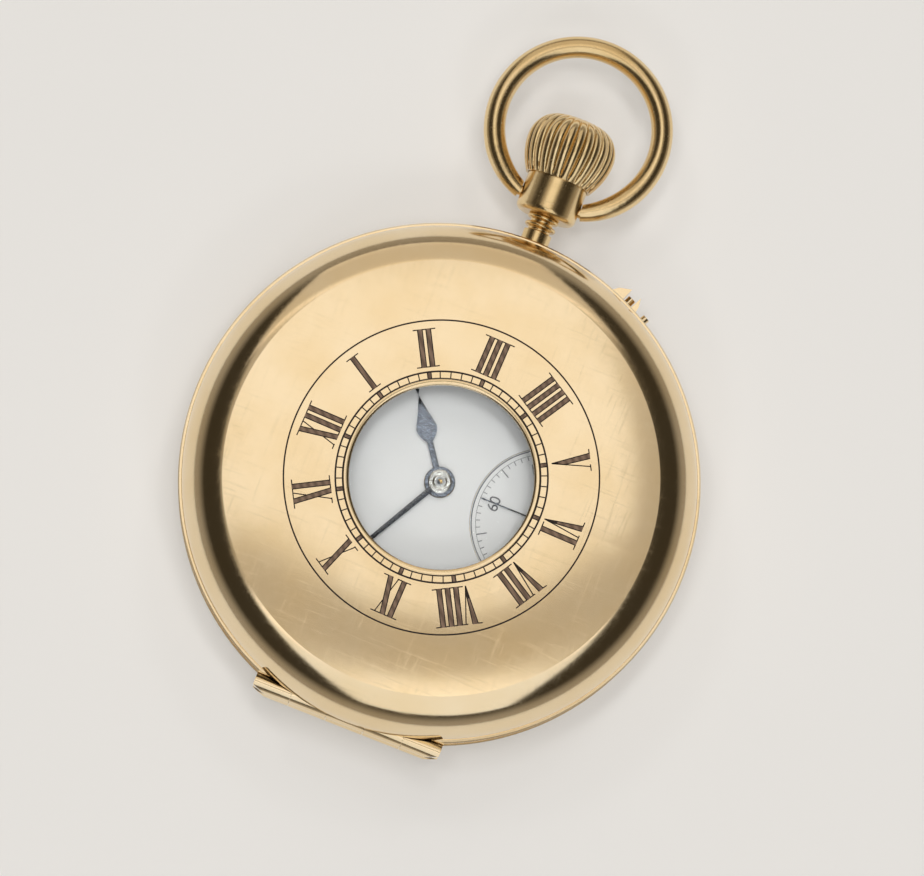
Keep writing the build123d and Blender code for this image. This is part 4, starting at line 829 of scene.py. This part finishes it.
seconds_print = bmesh.new()
add_line(seconds_print, seconds_line, 0.05 * MM, **on_seconds)
add_line(seconds_print, seconds_inner, inner_half, **on_seconds)
add_ticks(seconds_print, seconds_inner - second_tick, seconds_inner, 0.07 * MM, minutes_between,
          **on_seconds)
add_ticks(seconds_print, seconds_inner - ten_tick, seconds_inner + inner_half, 0.1 * MM,
          five_minutes[1:], **on_seconds)
seconds_piece = make_piece("seconds_track", seconds_print, seconds_ink, "case")
print("seconds track:", faces_in(seconds_piece), "faces")

# %% [markdown]
# Tens on the seconds dial
#
# The tens are plain printed figures. Blender's text object writes them, and its curve is turned
# into a mesh so that it can be laid on the sunk dial with the feet to its centre.

# %% Seconds figures
figure_height = 1.1 * MM
FONT_SIZE = figure_height * 1.4
figure_foot = seconds_inner - 1.9 * MM


def add_figures(mesh_builder, words, angle):
    text = bpy.data.curves.new("figures", "FONT")
    text.body = words
    text.size = FONT_SIZE
    text.space_character = 0.92
    text.align_x = "CENTER"
    writer = bpy.data.objects.new("figures", text)
    flat = bpy.data.meshes.new_from_object(writer)
    outward = Vector((cos(angle), sin(angle), 0.0))
    right = Vector((sin(angle), -cos(angle), 0.0))
    turned = Matrix((right, outward, (0.0, 0.0, 1.0))).transposed().to_4x4()
    foot = outward * figure_foot + Vector((*seconds_at, seconds_top + PRINT_DEPTH))
    flat.transform(Matrix.Translation(foot) @ turned)
    mesh_builder.from_mesh(flat)
    bpy.data.objects.remove(writer)
    bpy.data.meshes.remove(flat)


figures = bmesh.new()
for ten, words in enumerate(("60", "10", "20", "30", "40", "50")):
    add_figures(figures, words, pi - ten * tau / 6)
bmesh.ops.remove_doubles(figures, verts=figures.verts, dist=WELD)
figures_piece = make_piece("seconds_figures", figures, seconds_ink, "case")
print("figures:", faces_in(figures_piece), "faces")

# %% [markdown]
# Hands
#
# Watch hands are thin steel with a roof-shaped face, which is why each shows a light and a dark
# half. The CAD hands are flat, so each is replaced by a blade with that ridge: a list of stations
# along the hand, each with a half width, is joined into a closed skin. The frame says where each
# hand points and how far it reaches, so the blades lie exactly where the CAD hands were.

# %% Hand blades
POINT = 0.02 * MM
BLADE_DEPTH = 0.12 * MM


def add_blade(mesh_builder, stations, low, edge, ridge, bearing, centre):
    """Closed blade along a bearing: flat below, and roofed above from its edges to its ridge."""
    direction = Vector((cos(bearing), sin(bearing)))
    side = Vector((-sin(bearing), cos(bearing)))
    rings = []
    for reach, half in stations:
        ring = []
        for across, height in ((-half, low), (-half, edge), (0.0, ridge), (half, edge), (half, low)):
            point = Vector(centre) + direction * reach + side * across
            ring.append((point.x, point.y, height))
        rings.append(ring)
    made = add_rings(mesh_builder, rings)
    mesh_builder.faces.new(made[0])
    mesh_builder.faces.new(made[-1][::-1])


def bearing_of(node, centre):
    """Direction in which a hand reaches furthest from its centre, and how far that is."""
    points = [vertex.co for vertex in nodes[node].data.vertices]
    tip = max(points, key=lambda point: hypot(point.x - centre[0], point.y - centre[1]))
    across, along = tip.x - centre[0], tip.y - centre[1]
    return atan2(along, across), hypot(across, along)


minute_bearing, minute_length = bearing_of("minute_hand", watch_axis)
hour_bearing, hour_length = bearing_of("hour_hand", watch_axis)
seconds_bearing, _ = bearing_of("seconds_hand", seconds_at)
print("minute hand at", round(degrees(minute_bearing), 1), "hour hand at", round(degrees(hour_bearing), 1))

# %% [markdown]
# Minute hand
#
# The minute hand is a plain tapering blade, and its boss is a polished cap with a turned ring
# round the hole for the arbor. The stations give a share of the length and a half width.

# %% Minute hand
minute_top = corner("minute_hand", HIGH, Z)
minute_taper = ((0.0, 0.28), (0.5, 0.21), (0.97, 0.10), (1.0, 0.04))
minute_stations = [(minute_length * share, half * MM) for share, half in minute_taper]
minute_blade = bmesh.new()
add_blade(minute_blade, minute_stations, minute_top - BLADE_DEPTH, minute_top - BLADE_DEPTH * 0.7,
          minute_top, minute_bearing, watch_axis)
minute_piece = make_piece("minute_blade", minute_blade, blued_steel, "minutes")
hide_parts("minute_hand")

minute_boss_profile = (
    (0.34, -0.20), (1.09, -0.25), (1.14, -0.20), (1.14, -0.03), (1.09, 0.0), (0.66, 0.0),
    (0.62, -0.02), (0.58, 0.0), (0.50, 0.01), (0.34, -0.02), (0.34, -0.20),
)
minute_boss = bmesh.new()
add_turned(minute_boss, minute_boss_profile, minute_top)
minute_boss_piece = make_piece("minute_boss", minute_boss, cap_steel, "minutes")
print("minute hand", round(minute_length / MM, 1), "mm,", faces_in(minute_piece, minute_boss_piece), "faces")

# %% [markdown]
# Hour hand
#
# The hour hand has two spades in a row, one that shows in the window and one that points to the
# numerals under the lid. A spade's half width is a sine: a round shoulder from the stem to the
# widest place, then a hollow taper to the point. Many stations keep those curves smooth.

# %% Hour hand
def spade_half_width(reach, heel, tip, widest, half, stem):
    if reach < heel or reach > tip:
        return stem
    if reach < widest:
        share = (reach - heel) / (widest - heel)
        return stem + (half - stem) * sin(share * pi / 2) ** 0.8
    share = (reach - widest) / (tip - widest)
    return max(POINT, half * (cos(share * pi / 2) ** 1.5) * (1 - 0.25 * sin(share * pi)))


hour_top = corner("hour_hand", HIGH, Z)
spade_half, stem_half, link_half = 1.0 * MM, 0.28 * MM, 0.18 * MM
link_start, link_flare = 0.03 * MM, 0.3
inner_spade = {"heel": 4.0 * MM, "tip": 8.7 * MM, "widest": 5.4 * MM, "half": spade_half, "stem": stem_half}
outer_spade = {"heel": hour_length - 3.9 * MM, "tip": hour_length, "widest": hour_length - 2.7 * MM,
               "half": spade_half * 0.95, "stem": link_half}
stations_along = 220


def hour_half_width(reach):
    if reach < inner_spade["tip"]:
        return spade_half_width(reach, **inner_spade)
    link = min(link_half, link_start + (reach - inner_spade["tip"]) * link_flare)
    if reach > outer_spade["heel"]:
        return max(link, spade_half_width(reach, **outer_spade))
    return link


reaches = [hour_length * step / stations_along for step in range(stations_along)]
hour_stations = [(reach, hour_half_width(reach)) for reach in reaches] + [(hour_length, POINT)]
hour_blade = bmesh.new()
add_blade(hour_blade, hour_stations, hour_top - BLADE_DEPTH, hour_top - BLADE_DEPTH * 0.6, hour_top,
          hour_bearing, watch_axis)
hour_piece = make_piece("hour_blade", hour_blade, blued_steel, "hours")
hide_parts("hour_hand")

hour_boss_profile = ((1.0, -0.2), (1.46, -0.2), (1.46, -0.04), (1.41, 0.0), (1.0, 0.0), (1.0, -0.2))
hour_boss = bmesh.new()
add_turned(hour_boss, hour_boss_profile, hour_top)
hour_boss_piece = make_piece("hour_boss", hour_boss, blued_steel, "hours")
print("hour hand", round(hour_length / MM, 1), "mm,", faces_in(hour_piece, hour_boss_piece), "faces")

# %% [markdown]
# Seconds hand
#
# The seconds hand is a fine needle with a short tail, on a turned collet that is pressed on the
# long pivot of the fourth wheel. Needle and collet are one piece here, as they are on the watch.

# %% Seconds hand
seconds_hand_top = corner("seconds_hand", HIGH, Z)
seconds_tail, seconds_reach = 2.2 * MM, 6.75 * MM
needle_low = seconds_hand_top - 0.24 * MM
needle_edge, needle_ridge = needle_low + 0.06 * MM, needle_low + 0.1 * MM
seconds_stations = [
    (-seconds_tail, 0.1 * MM), (-seconds_tail * 0.2, 0.08 * MM), (seconds_reach * 0.9, 0.055 * MM),
    (seconds_reach * 0.95, 0.09 * MM), (seconds_reach, POINT),
]
collet_profile = (
    (0.0, -0.33), (0.42, -0.30), (0.50, -0.20), (0.42, -0.10), (0.15, -0.08), (0.12, 0.0), (0.0, 0.0),
)
seconds_blade = bmesh.new()
add_blade(seconds_blade, seconds_stations, needle_low, needle_edge, needle_ridge, seconds_bearing,
          seconds_at)
add_turned(seconds_blade, collet_profile, seconds_hand_top, seconds_at)
seconds_hand_piece = make_piece("seconds_blade", seconds_blade, blued_steel, "fourth")
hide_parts("seconds_hand")
print("seconds hand", round(seconds_reach / MM, 1), "mm,", faces_in(seconds_hand_piece), "faces")

# %% [markdown]
# The crown
#
# The crown is an onion with rounded ribs and narrow grooves between them, worn smooth. Seen end
# on, each rib is one bump of an absolute cosine: round on top, sharp in the valley. Turning that
# wave round the onion's profile gives every rib at once, with no modifier. The grooves fade out
# towards the foot and the small cap at the end.

# %% Crown profile
RIBS = 26
POINTS_PER_RIB = 10
RIB_SHAPE = 0.45
crown_low, crown_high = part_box("crown")
crown_foot, crown_crest = crown_low.y, crown_high.y
crown_widest = crown_foot + 0.556 * (crown_crest - crown_foot)
crown_r = crown_high.x
crown_foot_r = crown_r * 0.75
crown_crest_r = crown_r * 0.42


def crown_profile(y):
    """Radius of the onion without its grooves."""
    if y < crown_widest:
        share = (crown_widest - y) / (crown_widest - crown_foot)
        return crown_r - (crown_r - crown_foot_r) * share ** 2
    share = (y - crown_widest) / (crown_crest - crown_widest)
    return crown_crest_r + (crown_r - crown_crest_r) * sqrt(max(0.0, 1 - share ** 2))


def crown_ring(radius, y, depth=0.0):
    ring = []
    for step in range(RIBS * POINTS_PER_RIB):
        turn = step * tau / (RIBS * POINTS_PER_RIB)
        reach = radius - depth * (1 - abs(cos(turn * RIBS / 2)) ** RIB_SHAPE)
        ring.append((reach * cos(turn), y, stem_z + reach * sin(turn)))
    return ring


print("crown radius", round(crown_r / MM, 2), "mm")

# %% Crown
groove_depth = 0.36 * MM
levels = 40
skirt_r, skirt_depth, stem_hole_r = 3.06 * MM, 1.4 * MM, 0.68 * MM
skirt_y = crown_foot + skirt_depth
cap_r = crown_crest_r * 0.8
cap_edge_y, cap_middle_y = crown_crest - 0.12 * MM, crown_crest - 0.05 * MM

rings = [crown_ring(stem_hole_r, skirt_y), crown_ring(skirt_r, skirt_y), crown_ring(skirt_r, crown_foot)]
for step in range(levels + 1):
    y = crown_foot + (crown_crest - crown_foot) * sin(step / levels * pi / 2)
    radius = crown_profile(y)
    fade = min(1.0, step / 2, (radius / crown_r) ** 1.2)
    rings.append(crown_ring(radius, y, groove_depth * fade))
rings += [crown_ring(cap_r, crown_crest), crown_ring(cap_r * 0.9, cap_edge_y), [(0.0, cap_middle_y, stem_z)]]

crown_mesh = bmesh.new()
add_rings(crown_mesh, rings)
bmesh.ops.recalc_face_normals(crown_mesh, faces=crown_mesh.faces)
crown_piece = make_piece("ribbed_crown", crown_mesh, pendant_gold, "crown_stem")
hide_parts("crown")
print("crown:", faces_in(crown_piece), "faces")

# %% [markdown]
# Camera
#
# The photograph looks almost straight down through a long lens, from a little to the hinge side,
# with the pendant leaning clockwise. The camera is built from those facts: how far it tips, how
# far the picture turns, how many pixels a millimetre takes, and which pixel the case is centred on.

# %% Camera
IMAGE_WIDTH, IMAGE_HEIGHT = 924, 876
SENSOR = 36.0
pixels_per_mm = 10.42
camera_distance = 580 * MM
camera_tip = radians(6.5)
picture_turn = radians(21.5)
case_pixel = (438.8, 484.4)

backward = Vector((0.0, -sin(camera_tip), cos(camera_tip)))
to_pendant = Vector((0.0, cos(camera_tip), sin(camera_tip)))
to_six = Vector((1.0, 0.0, 0.0))
right = to_pendant * sin(picture_turn) + to_six * cos(picture_turn)
upward = to_pendant * cos(picture_turn) - to_six * sin(picture_turn)
aim = Vector((0.0, 0.0, stem_z))
aim += right * (IMAGE_WIDTH / 2 - case_pixel[0]) / pixels_per_mm * MM
aim += upward * (case_pixel[1] - IMAGE_HEIGHT / 2) / pixels_per_mm * MM

lens = bpy.data.cameras.new("camera")
lens.sensor_width = SENSOR
lens.lens = SENSOR * camera_distance / (IMAGE_WIDTH / pixels_per_mm * MM)
lens.clip_start = 0.01
camera = bpy.data.objects.new("camera", lens)
bpy.context.scene.collection.objects.link(camera)
turned = Matrix((right, upward, backward)).transposed().to_4x4()
camera.matrix_world = Matrix.Translation(aim + backward * camera_distance) @ turned
bpy.context.scene.camera = camera
print("lens", round(lens.lens), "mm")

# %% [markdown]
# Floor
#
# The watch lies on a pale card. Under soft light a card comes out grey, and more light would
# bleach the watch, so the card also glows a little. It does so only for the rays that see it,
# straight or in metal and glass, so it shows in the gold but throws no light on the dial.

# %% Floor
floor_half = 1.5
floor_drop = 0.02 * MM
floor_glow = 0.26


def pale_floor():
    finish = Finish("pale_floor")
    cloud = finish.noise(60 * MM, detail=4.0)
    card = finish.mix(cloud, (0.56, 0.55, 0.535), (0.53, 0.52, 0.505))
    finish.feed(Base_Color=card, Roughness=0.7 + cloud * 0.1)
    path = finish.node("ShaderNodeLightPath")
    looks = path.part("Is Camera Ray") + path.part("Is Glossy Ray") + path.part("Is Transmission Ray")
    dark = finish.node("ShaderNodeEmission", Strength=0.0)
    glow = finish.node("ShaderNodeEmission", Color=(1.0, 0.985, 0.96, 1.0), Strength=floor_glow)
    seen_glow = finish.blend(looks.clamped(), dark, glow)
    lit = finish.principled()
    finish.show(add_node(finish.tree, "ShaderNodeAddShader", {}, {0: lit, 1: seen_glow}))
    return finish.material


card_mesh = bmesh.new()
card_corners = [(-floor_half, -floor_half), (floor_half, -floor_half), (floor_half, floor_half),
                (-floor_half, floor_half)]
card_mesh.faces.new([card_mesh.verts.new((x, y, -floor_drop)) for x, y in card_corners])
mesh = bpy.data.meshes.new("floor")
card_mesh.to_mesh(mesh)
card_mesh.free()
mesh.materials.append(pale_floor())
floor = bpy.data.objects.new("floor", mesh)
bpy.context.scene.collection.objects.link(floor)
print("floor", 2 * floor_half, "m wide")

# %% [markdown]
# Light
#
# Polished gold shows its surroundings, so most of the light is soft boxes with darker gaps
# between them. The first stands just past the zenith and fills the flat of the lid with cream,
# and a dimmer one behind it draws the tan ring round the chapter. Two more lean in from the
# bottom and the top of the picture and light the shoulders. A box's brightness is what a mirror
# would show of it, so it is turned into lamp power by the box's area.
#
# The dial lies deep behind the small window, so eight little lamps shine in there. They are hidden
# from glossy rays, or the lid would mirror them as glaring spots.

# %% Light
picture_right = Vector((right.x, right.y, 0.0)).normalized()
picture_up = Vector((upward.x, upward.y, 0.0)).normalized()
zenith = Vector((0.0, 0.0, 1.0))


def soft_box(name, lean, distance, size, brightness, side_lean=0.0, colour=(1.0, 1.0, 1.0)):
    """Area lamp that leans from the zenith to the top of the picture, and to its right."""
    lamp = bpy.data.lights.new(name, "AREA")
    lamp.shape = "RECTANGLE"
    lamp.size, lamp.size_y = size
    lamp.energy = brightness * pi * size[0] * size[1]
    lamp.color = colour
    holder = bpy.data.objects.new(name, lamp)
    bpy.context.scene.collection.objects.link(holder)
    leaning = picture_up * tan(radians(lean)) + picture_right * tan(radians(side_lean))
    towards = (zenith + leaning).normalized()
    across = (picture_right - towards * picture_right.dot(towards)).normalized()
    turned = Matrix((across, towards.cross(across), towards)).transposed().to_4x4()
    holder.matrix_world = Matrix.Translation(towards * distance) @ turned
    return holder


warm_card = (1.0, 0.90, 0.76)
soft_box("box_above", lean=11.0, distance=1.0, size=(0.46, 0.31), brightness=0.58)
soft_box("box_behind", lean=8.0, distance=1.1, size=(0.80, 0.74), brightness=0.46, colour=warm_card)
soft_box("box_below_picture", lean=-32.0, distance=0.8, size=(0.56, 0.76), brightness=0.90)
soft_box("box_above_picture", lean=46.0, distance=0.8, size=(0.75, 0.70), brightness=0.60,
         colour=warm_card)

lamp_distance, lamp_size = 0.9, (0.12, 0.12)
outer_lamp, near_lamp = 9.0, 19.0
little_lamps = (
    ("lamp_low_left", -33.0, -20.0, outer_lamp), ("lamp_low_right", -33.0, 20.0, outer_lamp),
    ("lamp_top_left", 34.0, -20.0, outer_lamp), ("lamp_top_right", 34.0, 20.0, outer_lamp),
    ("lamp_near_left", 2.0, -9.0, near_lamp), ("lamp_near_right", 2.0, 9.0, near_lamp),
    ("lamp_near_low", -8.0, 0.0, near_lamp), ("lamp_near_top", 12.0, 0.0, near_lamp),
)
for name, lean, side_lean, brightness in little_lamps:
    holder = soft_box(name, lean, lamp_distance, lamp_size, brightness, side_lean)
    holder.visible_glossy = False
print("lamps:", len(bpy.data.lights))

# %% [markdown]
# Room
#
# The room round the boxes is dim and brown overhead, which draws the dark bands that make the
# metal read as gold. It pales towards the horizon, as a room does, so that the gold stays warm
# when the watch is seen from the side.

# %% Room
dim_brown = (0.042, 0.035, 0.024)
room_colours = ((0.0, (0.34, 0.31, 0.27)), (0.22, (0.30, 0.27, 0.23)), (0.50, dim_brown), (1.0, dim_brown))

world = bpy.data.worlds.new("room")
world.use_nodes = True
room = world.node_tree
direction = add_node(room, "ShaderNodeTexCoord", {}, {})
up = add_node(room, "ShaderNodeSeparateXYZ", {}, {"Vector": direction}).part("Z")
room_light = add_node(room, "ShaderNodeValToRGB", {"stops": room_colours}, {"Fac": up})
room.links.new(room_light.socket, room.nodes["Background"].inputs["Color"])
bpy.context.scene.world = world
bpy.context.scene.view_settings.view_transform = "Standard"
print("room:", len(room_colours), "stops")
